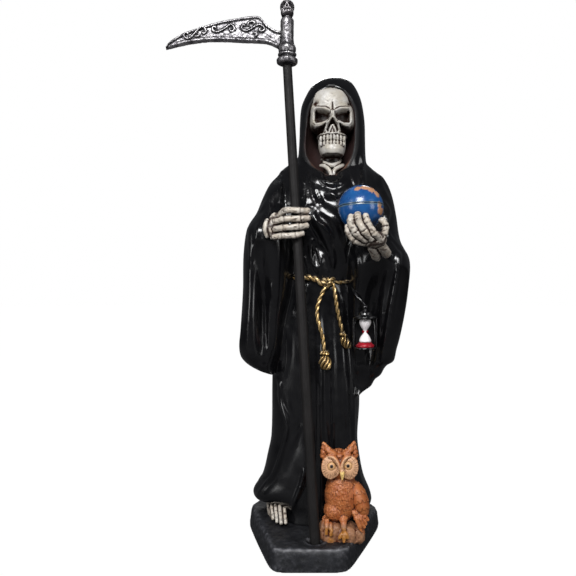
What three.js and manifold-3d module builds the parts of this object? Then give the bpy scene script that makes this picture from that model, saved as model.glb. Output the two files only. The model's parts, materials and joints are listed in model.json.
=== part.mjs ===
// Santa muerte figure: a cast resin skeleton in a hooded robe, a wooden staff and a silver scythe head.
// Millimetres, +Z up, the face looks along -Y. The origin is on the floor, below the plinth's middle.

import * as THREE from "three";
import { mergeVertices } from "three/addons/utils/BufferGeometryUtils.js";
import Module from "manifold-3d";

const wasm = await Module();
wasm.setup();

// Driving sizes
const figureHeight = 291; // hem to hood top
const plinthHeight = 13;
const plinthWidth = 87; // corner to corner, left to right
const plinthDepth = 112;
const plinthBevel = 1.2;
const staffDiameter = 6.4;
const staffTopDiameter = 5.8;
const staffLength = 308;
const staffHoleDepth = 8;
const staffFootX = 1.2;
const staffFootY = -43.5;
const fitGap = 0.3; // staff to hole, hand and socket
const bladeReach = 72; // socket to tip
const bladeThickness = 2.6;
const socketDiameter = 8.2;
const socketLength = 18;
const collarDiameter = 13;
const collarLength = 12;
const finialHeight = 10;

// The carving is drawn on a body 291 units high, so its sizes are shares of the figure's height.
const share = figureHeight / 291;
const sink = 0.6; // carved parts reach this far into the plinth
const neckX = 12.6; // the head leans this far to the right

// A smooth curve through [station, value] pairs, level beyond both ends.
function through(pairs) {
  const last = pairs.length - 1;
  const slopeAt = (i) => {
    if (i === 0 || i === last) return 0;
    const before = pairs[i - 1];
    const after = pairs[i + 1];
    return (after[1] - before[1]) / (after[0] - before[0]);
  };
  return (at) => {
    if (at <= pairs[0][0]) return pairs[0][1];
    if (at >= pairs[last][0]) return pairs[last][1];
    let i = 0;
    while (at > pairs[i + 1][0]) i += 1;
    const span = pairs[i + 1][0] - pairs[i][0];
    const s = (at - pairs[i][0]) / span;
    const ease = s * s * (3 - 2 * s);
    const lean = s * (1 - s) * (1 - s) * slopeAt(i) - s * s * (1 - s) * slopeAt(i + 1);
    return pairs[i][1] + (pairs[i + 1][1] - pairs[i][1]) * ease + span * lean;
  };
}

const mix = (a, b, t) => a + (b - a) * t;
const clamp = (t) => Math.min(1, Math.max(0, t));
const smooth = (from, to, at) => {
  const t = clamp((at - from) / (to - from));
  return t * t * (3 - 2 * t);
};
const bump = (distance, width) => Math.exp(-((distance / width) ** 2));
const signedPower = (t, power) => Math.sign(t) * Math.abs(t) ** power;

// A three.js geometry as a solid for cutting and joining.
function solidOf(geometry) {
  const bare = geometry.clone();
  bare.deleteAttribute("normal");
  bare.deleteAttribute("uv");
  const merged = mergeVertices(bare, 1e-4);
  return new wasm.Manifold(
    new wasm.Mesh({
      numProp: 3,
      vertProperties: merged.attributes.position.array,
      triVerts: new Uint32Array(merged.index.array),
    }),
  );
}

// A closed skin over rings of equal point counts, each ring turning left about the way of travel.
function loft(rings) {
  const count = rings[0].length;
  const last = rings.length - 1;
  const points = rings.flat();
  const middle = (ring) => ring.reduce((sum, p) => sum.add(p), new THREE.Vector3());
  points.push(middle(rings[0]).divideScalar(count), middle(rings[last]).divideScalar(count));
  const faces = [];
  for (let j = 0; j < count; j += 1) {
    const next = (j + 1) % count;
    for (let i = 0; i < last; i += 1) {
      const low = i * count;
      const high = low + count;
      faces.push(low + j, low + next, high + next, low + j, high + next, high + j);
    }
    faces.push(points.length - 2, next, j, points.length - 1, last * count + j, last * count + next);
  }
  const geometry = new THREE.BufferGeometry().setFromPoints(points);
  geometry.setIndex(faces);
  return solidOf(geometry);
}

const join = (solids) => solids.reduce((sum, next) => sum.add(next));

// Angles once round, from +X by way of the back; the front half has most of them.
function roundAngles(frontCount, backCount) {
  const back = Array.from({ length: backCount }, (_, i) => (Math.PI * i) / backCount);
  const front = Array.from({ length: frontCount }, (_, i) => Math.PI * (1 + i / frontCount));
  return [...back, ...front];
}

const evenly = (from, to, count) =>
  Array.from({ length: count + 1 }, (_, i) => mix(from, to, i / count));

const turns = (count) => evenly(0, 2 * Math.PI, count).slice(0, count);

// A form whose level sections are rounded boxes between four side curves. Relief moves its front and
// back out along Y, and ripple moves its skin out all round.
function sectionPoint(form, angle, z) {
  const [left, right, front, back] = [form.left(z), form.right(z), form.front(z), form.back(z)];
  const power = 2 / form.fullness;
  const c = signedPower(Math.cos(angle), power);
  const s = signedPower(Math.sin(angle), power);
  const x = (left + right) / 2 + ((right - left) / 2) * c;
  const y = (front + back) / 2 + ((back - front) / 2) * s;
  const rise = form.relief ? form.relief(x, z, angle) * Math.sign(Math.sin(angle)) : 0;
  const swell = form.ripple ? form.ripple(z, angle) : 0;
  return new THREE.Vector3(x + swell * Math.cos(angle), y + rise + swell * Math.sin(angle), z);
}

function formSolid(form, levels, angles) {
  return loft(levels.map((z) => angles.map((angle) => sectionPoint(form, angle, z))));
}

// A round limb along a smooth path, with narrower ends.
const limbEnd = 0.65;

function limb(path, radii, sides) {
  const steps = path.length - 1;
  const points = path.map((p) => new THREE.Vector3(...p));
  const curve = new THREE.CatmullRomCurve3(points, false, "centripetal");
  const radiusAt = through(radii.map((radius, i) => [i / (radii.length - 1), radius]));
  const frames = curve.computeFrenetFrames(steps, false);
  return loft(path.map((_, i) => {
    const t = i / steps;
    const radius = radiusAt(t) * (i === 0 || i === steps ? limbEnd : 1);
    return turns(sides).map((angle) =>
      curve
        .getPoint(t)
        .addScaledVector(frames.normals[i], Math.cos(angle) * radius)
        .addScaledVector(frames.binormals[i], Math.sin(angle) * radius),
    );
  }));
}

function ball(centre, radii, round, tall, tilt = 0) {
  const geometry = new THREE.SphereGeometry(1, round, tall);
  geometry.rotateX(Math.PI / 2);
  geometry.scale(...radii);
  geometry.rotateY(tilt);
  geometry.translate(...centre);
  return solidOf(geometry);
}

function turned(profile, centre, sides) {
  const geometry = new THREE.LatheGeometry(profile.map((p) => new THREE.Vector2(...p)), sides);
  geometry.rotateX(Math.PI / 2);
  geometry.translate(...centre);
  return solidOf(geometry);
}

// Plinth: six uneven sides, its corners as shares of the half width and half depth.
const plinthCorners = [
  [-0.98, 0.2],
  [-0.54, -0.97],
  [0.5, -0.97],
  [1.01, 0.2],
  [0.55, 1.02],
  [-0.57, 1.02],
];

function plinth() {
  const ring = (z, inset) =>
    plinthCorners.map(([x, y]) => {
      const corner = new THREE.Vector2((x * plinthWidth) / 2, (y * plinthDepth) / 2);
      corner.setLength(corner.length() - inset);
      return new THREE.Vector3(corner.x, corner.y, z);
    });
  return loft([
    ring(-plinthHeight, plinthBevel),
    ring(plinthBevel - plinthHeight, 0),
    ring(-plinthBevel, 0),
    ring(0, plinthBevel),
  ]);
}

// Folds on the front: each follows [height, x] pairs and is a ridge, or a groove where it is negative.
const fold = (height, width, ...pairs) => ({
  height,
  width,
  low: pairs[0][0],
  high: pairs[pairs.length - 1][0],
  at: through(pairs),
});

function foldRelief(folds, x, z) {
  return folds.reduce((sum, f) => {
    const t = (z - f.low) / (f.high - f.low);
    if (t <= 0 || t >= 1) return sum;
    return sum + f.height * Math.sin(Math.PI * t) ** 0.5 * bump(x - f.at(z), f.width);
  }, 0);
}

const frontShare = (angle) => clamp(-1.6 * Math.sin(angle)) ** 0.5;
const backShare = (angle) => clamp(1.6 * Math.sin(angle)) ** 0.5;

const robeFolds = [
  fold(4.5, 5, [6, -37], [17, -35], [37, -24], [65, -16], [85, -20], [94, -24]), // over the bent knee
  fold(-2, 4, [30, -17], [60, -8], [84, -12]),
  fold(3.4, 3.4, [4, -14], [35, -5], [75, -2], [140, -4]),
  fold(2.4, 3, [4, 6], [80, 5], [145, 3.5]),
  fold(-1.6, 2.6, [20, 10.5], [80, 9], [145, 7.5]),
  fold(2.4, 3, [4, 15], [80, 13], [145, 11]),
  fold(2.6, 3, [4, 25], [80, 21], [140, 18]),
  fold(3, 3.2, [6, 36], [33, 30], [80, 27], [130, 25]),
  fold(2.2, 3, [80, -21], [145, -17]),
  fold(2.2, 2.6, [132, -9], [154, -4]), // gathers under and over the belt
  fold(2.2, 2.6, [134, 15], [154, 12]),
  fold(2.2, 2.6, [134, 26], [154, 21]),
  fold(2.2, 2.6, [157, -3], [178, -7]),
  fold(2, 2.6, [157, 5], [174, 6]),
  fold(3.6, 3.8, [157, 20], [175, 21], [192, 17], [212, -2]), // crossing lapels
  fold(2.8, 3.2, [164, 13], [185, 10], [206, -8]),
  fold(-2.2, 3.4, [165, 0], [180, 1], [198, -5]),
  fold(3.4, 3, [186, -8], [205, -7], [229, -6]), // drapes hanging from the hood
  fold(3.4, 3, [186, 27], [205, 31], [229, 33]),
];

// Dents: places where the cloth falls in, as [x, height, half width, half height, depth].
const robeDents = [
  [-23, 5, 8, 9, 10],
  [-8, 7, 5, 7, 5],
];

const dentRelief = (dents, x, z) =>
  dents.reduce(
    (sum, [middleX, middleZ, wide, tall, depth]) =>
      sum - depth * bump(x - middleX, wide) * bump(z - middleZ, tall),
    0,
  );

// Folds that hang in curves below the neck.
function cowlRelief(x, z) {
  const reach = Math.hypot(x - neckX, (z - 226) * 0.8);
  const below = smooth(226, 220, z) * smooth(13, 8, Math.abs(x - neckX));
  return below * (2 * bump(reach - 9, 2) + 2 * bump(reach - 16, 2.2));
}

const backPleats = 3;

const robe = {
  fullness: 2.3,
  left: through([[-1, -39], [9, -40.8], [15, -39.4], [26, -34], [42, -30.6], [53, -28.5],
    [85, -27.9], [150, -27], [190, -28], [208, -29], [219, -26], [225, -24], [230, -21],
    [235, -15], [240, -10]]),
  right: through([[-1, 38.5], [9, 39.4], [15, 38.7], [26, 34.7], [42, 31.3], [53, 29.9],
    [75, 31.3], [150, 31], [190, 38], [208, 45], [219, 46.5], [225, 45], [230, 41],
    [235, 36], [240, 33]]),
  front: through([[-1, -19.5], [20, -18.5], [60, -17.5], [100, -18], [155, -16.5], [190, -20],
    [208, -18], [219, -12], [225, -8], [232, -3], [240, 3]]),
  back: through([[-1, 42], [10, 42], [38, 37], [80, 33], [150, 29], [190, 32], [219, 33],
    [240, 28]]),
  relief: (x, z, angle) =>
    frontShare(angle) * (foldRelief(robeFolds, x, z) + dentRelief(robeDents, x, z) + cowlRelief(x, z)),
  ripple: (z, angle) => -2.2 * backShare(angle) * Math.cos(2 * backPleats * angle) * smooth(218, 120, z),
};

// Sleeves: wide bells that hang from the forearms, with a rounded lip and a hollow behind it.
const rightSleeveFolds = [
  fold(3, 4, [98, -41], [112, -42], [150, -40], [190, -40]),
  fold(-10, 5.5, [102, -31], [140, -31], [180, -32]),
  fold(1.6, 2.5, [150, -31], [182, -28]),
  fold(1.5, 3, [185, -34], [205, -27], [220, -22]),
];

const rightSleeve = {
  fullness: 2.2,
  left: through([[95, -33], [97, -38.5], [102.7, -45.6], [108, -47.8], [113, -48.4], [130, -47.3],
    [172, -46], [188, -43.8], [193, -41.6], [199, -37.8], [209, -33.6], [220, -28.4], [229, -22]]),
  right: through([[95, -24], [110, -20], [229, -15]]),
  front: through([[96, -20], [110, -26], [150, -30], [183, -32], [190, -29], [200, -20],
    [214, -12], [229, 2]]),
  back: through([[96, 10], [110, 16], [187, 22], [208, 23], [229, 12]]),
  relief: (x, z, angle) => frontShare(angle) * foldRelief(rightSleeveFolds, x, z),
};

const leftSleeveFolds = [
  fold(3, 2.6, [100, 44], [112, 46], [140, 49], [162, 52], [176, 53]),
  fold(-15, 8, [82, 33], [112, 36], [140, 38], [172, 43]),
  fold(1.8, 2, [84, 33], [120, 34], [165, 40]),
  fold(1.6, 2, [90, 38], [120, 41], [170, 47]),
  fold(1.6, 3, [176, 50], [200, 45], [220, 38]),
];

const leftSleeve = {
  fullness: 2.2,
  left: through([[81, 27], [100, 24], [229, 20]]),
  right: through([[81, 31.5], [85, 38], [92, 41], [98, 46.8], [103, 53], [119, 56.6], [140, 60.2],
    [162, 63.6], [171, 63.4], [179, 59], [199, 55], [215, 52], [225, 47], [229, 42]]),
  front: through([[81, -14], [103, -24], [150, -31], [166, -35], [174, -32], [184, -22],
    [204, -15], [229, 2]]),
  back: through([[81, 6], [103, 14], [170, 22], [208, 24], [229, 12]]),
  relief: (x, z, angle) => frontShare(angle) * foldRelief(leftSleeveFolds, x, z),
};

const hood = {
  fullness: 2.2,
  left: through([[222, -14], [230, -11.5], [240, -10], [250, -9.3], [262, -8.9], [272, -8], [278, -5.7],
    [284, -2], [287.5, 2], [289.5, 6], [291, 11]]),
  right: through([[222, 40], [232, 36.6], [240, 35.6], [250, 35.3], [262, 35], [272, 33.6], [278, 31.8],
    [284, 28.8], [287.5, 25.2], [289.5, 21], [291, 15]]),
  front: through([[222, -5], [240, -7.5], [262, -9], [275, -9], [283, -8], [288, -5], [291, 2]]),
  back: through([[222, 28], [240, 32], [262, 34], [275, 32], [284, 25], [289, 16], [291, 8]]),
};

const hoodHollow = {
  fullness: 2.6,
  left: through([[224, 8], [230, 1], [240, -4.5], [255, -4], [266, -2.5], [273, 1], [279, 6],
    [281.5, 10]]),
  right: through([[224, 15], [230, 21], [240, 25.7], [255, 27.2], [266, 26.5], [273, 23.5],
    [279, 19], [281.5, 14]]),
  front: () => -20,
  back: through([[224, 6], [240, 13], [270, 13], [281.5, 4]]),
};

function robeSolid() {
  const sleeveAngles = roundAngles(14, 6);
  const rightLevels = [95, 97, 101, 106, ...evenly(113, 223, 7), 229];
  const leftLevels = [81, 85, 92, 98, 103, ...evenly(112, 223, 7), 229];
  const hoodLevels = [...evenly(222, 272, 4), 278, 284, 287.5, 289.5, 291];
  const hollowLevels = [224, 227, 231, 236, 242, 255, 267, 273, 277, 280, 281.5];
  const cloth = join([
    formSolid(robe, [-sink, ...evenly(5, 240, 19)], roundAngles(30, 12)),
    formSolid(rightSleeve, rightLevels, sleeveAngles),
    formSolid(leftSleeve, leftLevels, sleeveAngles),
    formSolid(hood, hoodLevels, roundAngles(10, 8)),
  ]);
  return cloth.subtract(formSolid(hoodHollow, hollowLevels, roundAngles(10, 6)));
}

// Skull, drawn about the middle of the face.
const skullForm = {
  fullness: 2.3,
  half: through([[236.5, 5.5], [239, 7.8], [243, 8.8], [248, 9], [252, 9.2], [254, 11],
    [256, 13.6], [260, 14.6], [264, 14.4], [268, 13.9], [270.6, 12], [275, 11], [278.5, 8],
    [281.2, 3]]),
  left: (z) => neckX - skullForm.half(z),
  right: (z) => neckX + skullForm.half(z),
  front: through([[236.5, -7], [240, -10], [248, -10.5], [253, -10], [262, -10], [268, -10.5],
    [274, -9.5], [278.5, -7], [281.2, -2]]),
  back: through([[236.5, 8], [250, 14], [281.2, 8]]),
};

const socketX = 7;
const socketZ = 262.6;

// Distance from an eye socket's edge: the brow slants down to the nose, so the top edge does too.
function socketEdge(x, z) {
  const side = Math.abs(x - neckX) - socketX;
  const height = z - socketZ - 0.16 * side;
  return (Math.hypot(side / 4.9, height / 3.7) - 1) * 4;
}

skullForm.relief = (x, z, angle) => {
  const edge = socketEdge(x, z);
  const across = x - neckX;
  const sockets = -6.5 * smooth(0.8, -2.4, edge) + 1.6 * bump(edge - 1.6, 1.4);
  const noseHalf = clamp((261 - z) / 6.5) * 3.8;
  const inNose = smooth(254, 255.2, z) * smooth(noseHalf + 0.4, noseHalf - 0.8, Math.abs(across));
  const nose = 1.6 * bump(across, 2.6) * bump(z - 262, 4) - 4 * inNose * smooth(261, 259.5, z);
  const brow = 1.1 * bump(z - 266.5 - 0.22 * Math.abs(across), 1.6) * smooth(14, 9, Math.abs(across));
  const crease = -1 * bump(across, 0.9) * bump(z - 266, 3);
  const lip = 0.9 * bump(z - 250.8, 1) * smooth(9, 7, Math.abs(across));
  return frontShare(angle) * (sockets + nose + brow + crease + lip);
};

const toothCount = 8;
const toothPitch = 2.05;

function teeth() {
  const rows = [[248.9, 3.2], [245.6, 3]];
  const made = rows.flatMap(([z, height]) =>
    Array.from({ length: toothCount }, (_, i) => {
      const across = (i - (toothCount - 1) / 2) * toothPitch;
      const tooth = new THREE.BoxGeometry(toothPitch * 0.82, 3, height * 0.86);
      tooth.rotateZ(across * 0.07);
      tooth.translate(neckX + across, -9.6 + 0.035 * across * across, z);
      return solidOf(tooth);
    }),
  );
  return join(made);
}

function skull() {
  const levels = [236.5, 238, 240, 243, 249, 251, 252.6, ...evenly(254, 269, 9), 273, 277, 279.7, 281.2];
  const head = formSolid(skullForm, levels, roundAngles(20, 2));
  const neck = limb([[neckX, 8, 214], [neckX, 5, 226], [neckX, 6, 242]], [8, 6, 6.5], 6);
  const throatPath = [[3.5, 6, 236.5], [8.6, -2.5, 232], [14.6, -3.4, 231.4], [21, 5, 235]];
  const throat = limb(throatPath, [2, 2], 5);
  const collarBones = [
    limb([[2, 2, 231], [9, -5, 228], [11.8, -7.5, 221]], [1.8, 1.8], 5),
    limb([[23, 2, 231], [16, -5, 228], [13.2, -7.5, 221]], [1.8, 1.8], 5),
  ];
  return join([head, teeth(), neck, throat, ...collarBones]);
}

// A finger or toe: knobs at the joints and thinner bones between them.
function finger(joints, radius) {
  const path = joints.flatMap((joint, i) => {
    if (i === joints.length - 1) return [joint];
    const next = joints[i + 1];
    return [joint, joint.map((value, axis) => mix(value, next[axis], 0.5))];
  });
  const radii = path.map((_, i) => (i % 2 === 0 ? radius : radius * 0.76));
  return limb(path, radii, 5);
}

// The staff's line: from its hole in the plinth through the right hand's grip.
const staffFoot = new THREE.Vector3(staffFootX, staffFootY, 0);
const staffGrip = new THREE.Vector3(-10, -34.5, 189).multiplyScalar(share);
const staffWay = staffGrip.clone().sub(staffFoot).normalize();
const staffPoint = (along) => staffFoot.clone().addScaledVector(staffWay, along);

const gripFingers = [195.8, 191, 186.1, 181.3];

function rightHand() {
  const [gripX, gripY] = [-10, -34.5];
  const wrap = gripFingers.map((z, i) => {
    const tuck = 0.9 * i;
    return finger([
      [gripX - 13.6, gripY - 0.5, z],
      [gripX - 7.3, gripY - 5, z + 0.6],
      [gripX + 3 - tuck * 0.5, gripY - 6, z + 0.4],
      [gripX + 8.2 - tuck, gripY - 2.2, z],
    ], 2.65);
  });
  const thumb = finger([
    [gripX - 12, gripY + 3, 189],
    [gripX - 4, gripY + 6.2, 193],
    [gripX + 4, gripY + 5.4, 195],
  ], 2.2);
  const palm = ball([gripX - 13, gripY + 2.5, 188.5], [4.6, 4, 9.4], 8, 4);
  const armBones = [191, 185].map((z) => {
    const path = [[gripX - 14, gripY + 1, z], [gripX - 19, gripY + 3, z], [gripX - 28, gripY + 9, z - 1]];
    return limb(path, [3.4, 3, 3.6], 5);
  });
  return join([...wrap, thumb, palm, ...armBones]);
}

const globeCentre = [28.9, -38, 198.3];
const globeRadius = 14.5;

function leftHand() {
  const fingers = [
    finger([[20.3, -49.5, 188.2], [21, -51.5, 183], [24, -51, 178.8], [31, -47, 177]], 2.5),
    finger([[22.2, -51.5, 193.4], [21.6, -54.2, 189], [24, -55, 183], [32, -50, 178]], 2.5),
    finger([[26.4, -52.5, 195.4], [26, -55.2, 190], [28.6, -56.2, 184], [35, -51, 178.5]], 2.5),
    finger([[30.8, -52.5, 194.4], [32.6, -54.8, 188.4], [36, -54.5, 183], [40, -49, 179]], 2.5),
    finger([[39.6, -47.5, 192], [42.6, -48, 187], [41.6, -48, 182], [38, -47, 179]], 2.5),
  ];
  const palm = ball([35.5, -46, 179.5], [8, 6, 5], 8, 5);
  const armBones = [
    limb([[38, -45, 179], [42.5, -39, 174], [50, -16, 167]], [4.2, 3.6, 4], 5),
    limb([[35, -43, 177], [38.5, -37, 170], [46, -14, 162]], [4, 3.5, 4], 5),
  ];
  return join([...fingers, palm, ...armBones]);
}

const globe = () => ball(globeCentre, [globeRadius, globeRadius, globeRadius], 16, 9);

// Belt: a rope round the waist, its knot, and two hanging cords with tassels.
const beltZ = 155;
const ropeRadius = 2.1;

function belt() {
  const steps = 24;
  const sides = 4;
  const rings = turns(steps).map((angle) => {
    const centre = sectionPoint({ ...robe, relief: null }, angle, beltZ);
    return turns(sides).map((turn) => {
      const out = ropeRadius * Math.cos(turn);
      return new THREE.Vector3(
        centre.x + out * Math.cos(angle),
        centre.y + out * Math.sin(angle),
        beltZ + ropeRadius * Math.sin(turn),
      );
    });
  });
  const points = rings.flat();
  const faces = [];
  for (let i = 0; i < steps; i += 1) {
    for (let j = 0; j < sides; j += 1) {
      const [a, b] = [i * sides + j, i * sides + ((j + 1) % sides)];
      const [c, d] = [a, b].map((index) => (index + sides) % points.length);
      faces.push(a, c, d, a, d, b);
    }
  }
  const geometry = new THREE.BufferGeometry().setFromPoints(points);
  geometry.setIndex(faces);
  return solidOf(geometry);
}

const tasselProfile = [[0, -9.6], [2.6, -9.2], [3.6, -6], [3, -2.4], [1.9, -1], [2.5, 0.4],
  [1.7, 1.6], [0, 1.8]];
const cordRadius = 1.8;

function ropes() {
  const y = -19.5;
  const knot = ball([9.4, y, 154.6], [3.6, 2.8, 2.6], 8, 5);
  const paths = [
    [[8.4, y, 153.6], [4.2, y, 145.5], [2.4, y, 137], [4.6, y, 126], [7, y, 109]],
    [[10.6, y, 153.6], [14.6, y, 141.5], [16.7, y, 131], [21.4, y, 119.4]],
  ];
  const cords = paths.map((path) => limb(path, [cordRadius, cordRadius], 4));
  const tassels = paths.map((path) => turned(tasselProfile, path[path.length - 1], 7));
  return join([knot, ...cords, ...tassels]);
}

// Hourglass lantern: two bulbs between plates, in a small cage.
function hourglass() {
  const [x, y] = [32.4, -25];
  const cord = limb([[24.5, -17, 152], [27, y + 2, 146], [30.6, y, 142], [x, y, 139.6]], [0.9, 0.9], 4);
  const profile = [[0, 113.6], [4.4, 113.6], [4.4, 116.8], [3.4, 117.4], [1, 122.6], [3.6, 127.6],
    [3.4, 130.6], [5.6, 131], [5.9, 133.4], [3.6, 136], [2, 139], [0, 140.4]];
  const glass = turned(profile, [x, y, 0], 8);
  const posts = [-7.4, 7.4].map((side) => {
    const path = [[x + side, y, 114.5], [x + side, y, 130], [x + side * 0.7, y, 133.5]];
    return limb(path, [0.8, 0.8], 4);
  });
  const backing = new THREE.BoxGeometry(15, 6, 17);
  backing.translate(x, y + 5, 122);
  return join([cord, glass, ...posts, solidOf(backing)]);
}

// Owl on its rock.
function owl() {
  const headAt = [15.8, -36, 42.6];
  const head = ball(headAt, [11, 9, 10], 10, 6);
  const body = ball([17.4, -34, 24], [11.6, 10, 17.5], 10, 6);
  const discs = [-5.4, 5.4].map((side) => ball([headAt[0] + side, -42.4, 42.8], [6, 3, 7.4], 10, 6));
  const ears = [
    limb([[13, -38, 48.5], [9.4, -38.5, 53], [7, -38, 56.6]], [4.2, 2.8, 0.8], 4),
    limb([[18.6, -38, 48.5], [22, -38.5, 53.4], [24.2, -38, 57.4]], [4.2, 2.8, 0.8], 4),
  ];
  const beak = limb([[17.3, -41, 42], [17.3, -46.6, 39.4], [17.3, -47.2, 35.4]], [2.2, 2, 0.8], 4);
  const wing = ball([27.2, -35, 23.5], [5.2, 8.5, 12.6], 8, 6, 0.3);
  const tail = [0, 1].map((i) => {
    const y = -34 - i;
    const path = [[23 + i * 2, y, 15 - i], [28.5 + i * 1.6, y, 8.6 - i * 0.6], [33.6 - i, y, 5 - i * 0.8]];
    return limb(path, [2.4, 2.2, 1.8], 4);
  });
  const legs = [
    limb([[11, -38, 14], [8.4, -41, 7], [8, -42.5, 2]], [3, 2.2, 2.4], 4),
    limb([[17, -40, 12], [17.4, -44, 5], [17, -47.5, 1]], [3, 2.2, 2.6], 4),
  ];
  const rock = [
    ball([16, -34, 1], [14, 11, 9], 9, 5),
    ball([25, -33, 2], [9, 7, 6], 7, 4),
  ];
  return join([head, body, ...discs, ...ears, beak, wing, ...tail, ...legs, ...rock]);
}

// Bare foot of bone under the hem.
function foot() {
  const instep = ball([-23, -6, 6], [7.6, 10, 7.4], 8, 4);
  const toes = Array.from({ length: 5 }, (_, i) => {
    const x = -28.6 + i * 2.8;
    const path = [[x * 0.9 - 2.6, -9, 13], [x * 0.96 - 1, -15.5, 9.5], [x, -19.6 + 0.3 * i, 2.2]];
    return limb(path, [1.75, 1.5, 1.75], 5);
  });
  return join([instep, ...toes]);
}

// Staff: a tapering rod; the same form, wider by the gap, clears its hole, the hand and the socket.
function rod(gap, from, to) {
  const spread = [staffDiameter, staffTopDiameter].map((diameter) => diameter / 2 + gap);
  const radiusAt = (along) => mix(spread[0], spread[1], clamp((along + staffHoleDepth) / staffLength));
  const bar = new THREE.CylinderGeometry(radiusAt(to), radiusAt(from), to - from, 16);
  bar.rotateX(Math.PI / 2);
  bar.applyQuaternion(new THREE.Quaternion().setFromUnitVectors(new THREE.Vector3(0, 0, 1), staffWay));
  const middle = staffPoint((from + to) / 2);
  bar.translate(middle.x, middle.y, middle.z);
  return solidOf(bar);
}

const staffTop = staffLength - staffHoleDepth;

function figureSolid() {
  const carved = join([robeSolid(), skull(), rightHand(), leftHand(), globe(), belt(), ropes(),
    hourglass(), owl(), foot()]);
  const clearance = rod(fitGap, -staffHoleDepth, staffTop);
  return carved.scale([share, share, share]).add(plinth()).subtract(clearance);
}

// Scythe head: its own frame has the socket's middle at x = 0 and the collar's lower edge at z = 0.
const socketSink = 11; // how far the staff enters

// The blade's edges above the collar, as shares of its reach: the back, then the cutting edge.
const bladeBack = through([[-1, -0.01], [-0.84, 0.12], [-0.69, 0.176], [-0.552, 0.218],
  [-0.41, 0.245], [-0.26, 0.268], [-0.196, 0.26], [-0.138, 0.195], [-0.063, 0.148], [0, 0.138]]);
const bladeEdge = through([[-1, -0.012], [-0.962, -0.016], [-0.814, 0.02], [-0.674, 0.04], [-0.509, 0.045],
  [-0.345, 0.036], [-0.155, 0.028], [-0.097, 0.012], [-0.03, -0.02], [0, -0.03]]);
const bladeRoot = 1.5; // the blade's sink into its socket
const bladeDrop = 1.6; // its root starts this far below the collar's top

function blade() {
  const places = [...evenly(-1, -0.28, 8), -0.196, -0.15, -0.1, -0.05, 0];
  const back = places.map((place) => [place, bladeBack(place)]);
  const edge = places.slice(1).reverse().map((place) => [place, bladeEdge(place)]);
  const outline = [...back, ...edge].map(
    ([x, z]) => new THREE.Vector2(x * bladeReach - socketDiameter / 2 + bladeRoot, z * bladeReach),
  );
  const sheet = new THREE.ExtrudeGeometry(new THREE.Shape(outline), {
    depth: bladeThickness / 2,
    bevelEnabled: true,
    bevelThickness: bladeThickness / 4,
    bevelSize: bladeThickness / 3,
    bevelOffset: -bladeThickness / 3,
    bevelSegments: 1,
  });
  sheet.rotateX(Math.PI / 2);
  sheet.translate(0, bladeThickness / 4, collarLength - bladeDrop);
  return solidOf(sheet);
}

// Low scrolls along the blade, each a comma that rises above both faces.
const scrollPlaces = [-0.72, -0.56, -0.4, -0.25];

function scrolls() {
  return join(scrollPlaces.map((place) => {
    const middle = (bladeBack(place) + bladeEdge(place)) / 2;
    const size = (bladeBack(place) - bladeEdge(place)) * 0.3 * bladeReach;
    const path = evenly(0, 1, 3).map((t) => {
      const angle = Math.PI * (1.1 - 1.7 * t);
      return [
        place * bladeReach - socketDiameter / 2 + size * Math.cos(angle) * mix(1.3, 0.5, t),
        0,
        middle * bladeReach + collarLength - bladeDrop + size * Math.sin(angle) * mix(1, 0.5, t),
      ];
    });
    return limb(path, [0.4, 0.72, 0.62].map((part) => part * bladeThickness), 4);
  }));
}

// A small skull, its parts as shares of its height.
function finial(z) {
  const part = ([x, y, up], radii, round, tall) => {
    const centre = [x * finialHeight, y * finialHeight, z + up * finialHeight];
    return ball(centre, radii.map((radius) => radius * finialHeight), round, tall);
  };
  const cranium = part([0, 0, 0.6], [0.47, 0.5, 0.46], 8, 6);
  const jaw = part([0, -0.1, 0.2], [0.3, 0.36, 0.3], 8, 4);
  const eyes = [-0.19, 0.19].map((x) => part([x, -0.46, 0.53], [0.12, 0.14, 0.12], 5, 3));
  return cranium.add(jaw).subtract(join(eyes));
}

function scytheHeadSolid() {
  const r = socketDiameter / 2;
  const wide = collarDiameter / 2;
  const top = collarLength + socketLength;
  const profile = [[0, 0], [wide * 0.86, 0], [wide, 1.4], [wide, 3], [wide * 0.8, 4.6],
    [wide * 0.8, 6], [wide * 0.86, 7], [wide * 0.86, collarLength - 1.4], [r + 0.4, collarLength],
    [r, collarLength + 1.5], [r, top - 1], [r * 0.7, top], [0, top]];
  const socket = turned(profile, [0, 0, 0], 10);
  return join([socket, blade(), scrolls(), finial(top)]);
}

// Finished meshes
function geometryOf(solid) {
  const mesh = solid.getMesh();
  const geometry = new THREE.BufferGeometry();
  geometry.setAttribute("position", new THREE.BufferAttribute(new Float32Array(mesh.vertProperties), 3));
  geometry.setIndex(new THREE.BufferAttribute(new Uint32Array(mesh.triVerts), 1));
  return geometry;
}

const resin = new THREE.MeshStandardMaterial({ color: 0x101012, roughness: 0.18, metalness: 0 });
const wood = new THREE.MeshStandardMaterial({ color: 0x2e2c2c, roughness: 0.7, metalness: 0 });
const silver = new THREE.MeshStandardMaterial({ color: 0xbdbcbf, roughness: 0.35, metalness: 0.9 });

function named(name, solid, material) {
  const mesh = new THREE.Mesh(geometryOf(solid), material);
  mesh.name = name;
  return mesh;
}

const headSeat = staffPoint(staffTop - socketSink);
const seatedHead = scytheHeadSolid()
  .translate([headSeat.x, headSeat.y, headSeat.z])
  .subtract(rod(fitGap, 0, staffTop + fitGap));

const model = new THREE.Group();
model.position.z = plinthHeight;
model.add(named("figure", figureSolid(), resin));
model.add(named("scythe_staff", rod(0, fitGap - staffHoleDepth, staffTop), wood));
model.add(named("scythe_head", seatedHead, silver));

const santaMuerte = new THREE.Group();
santaMuerte.add(model);

export default santaMuerte;
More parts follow.
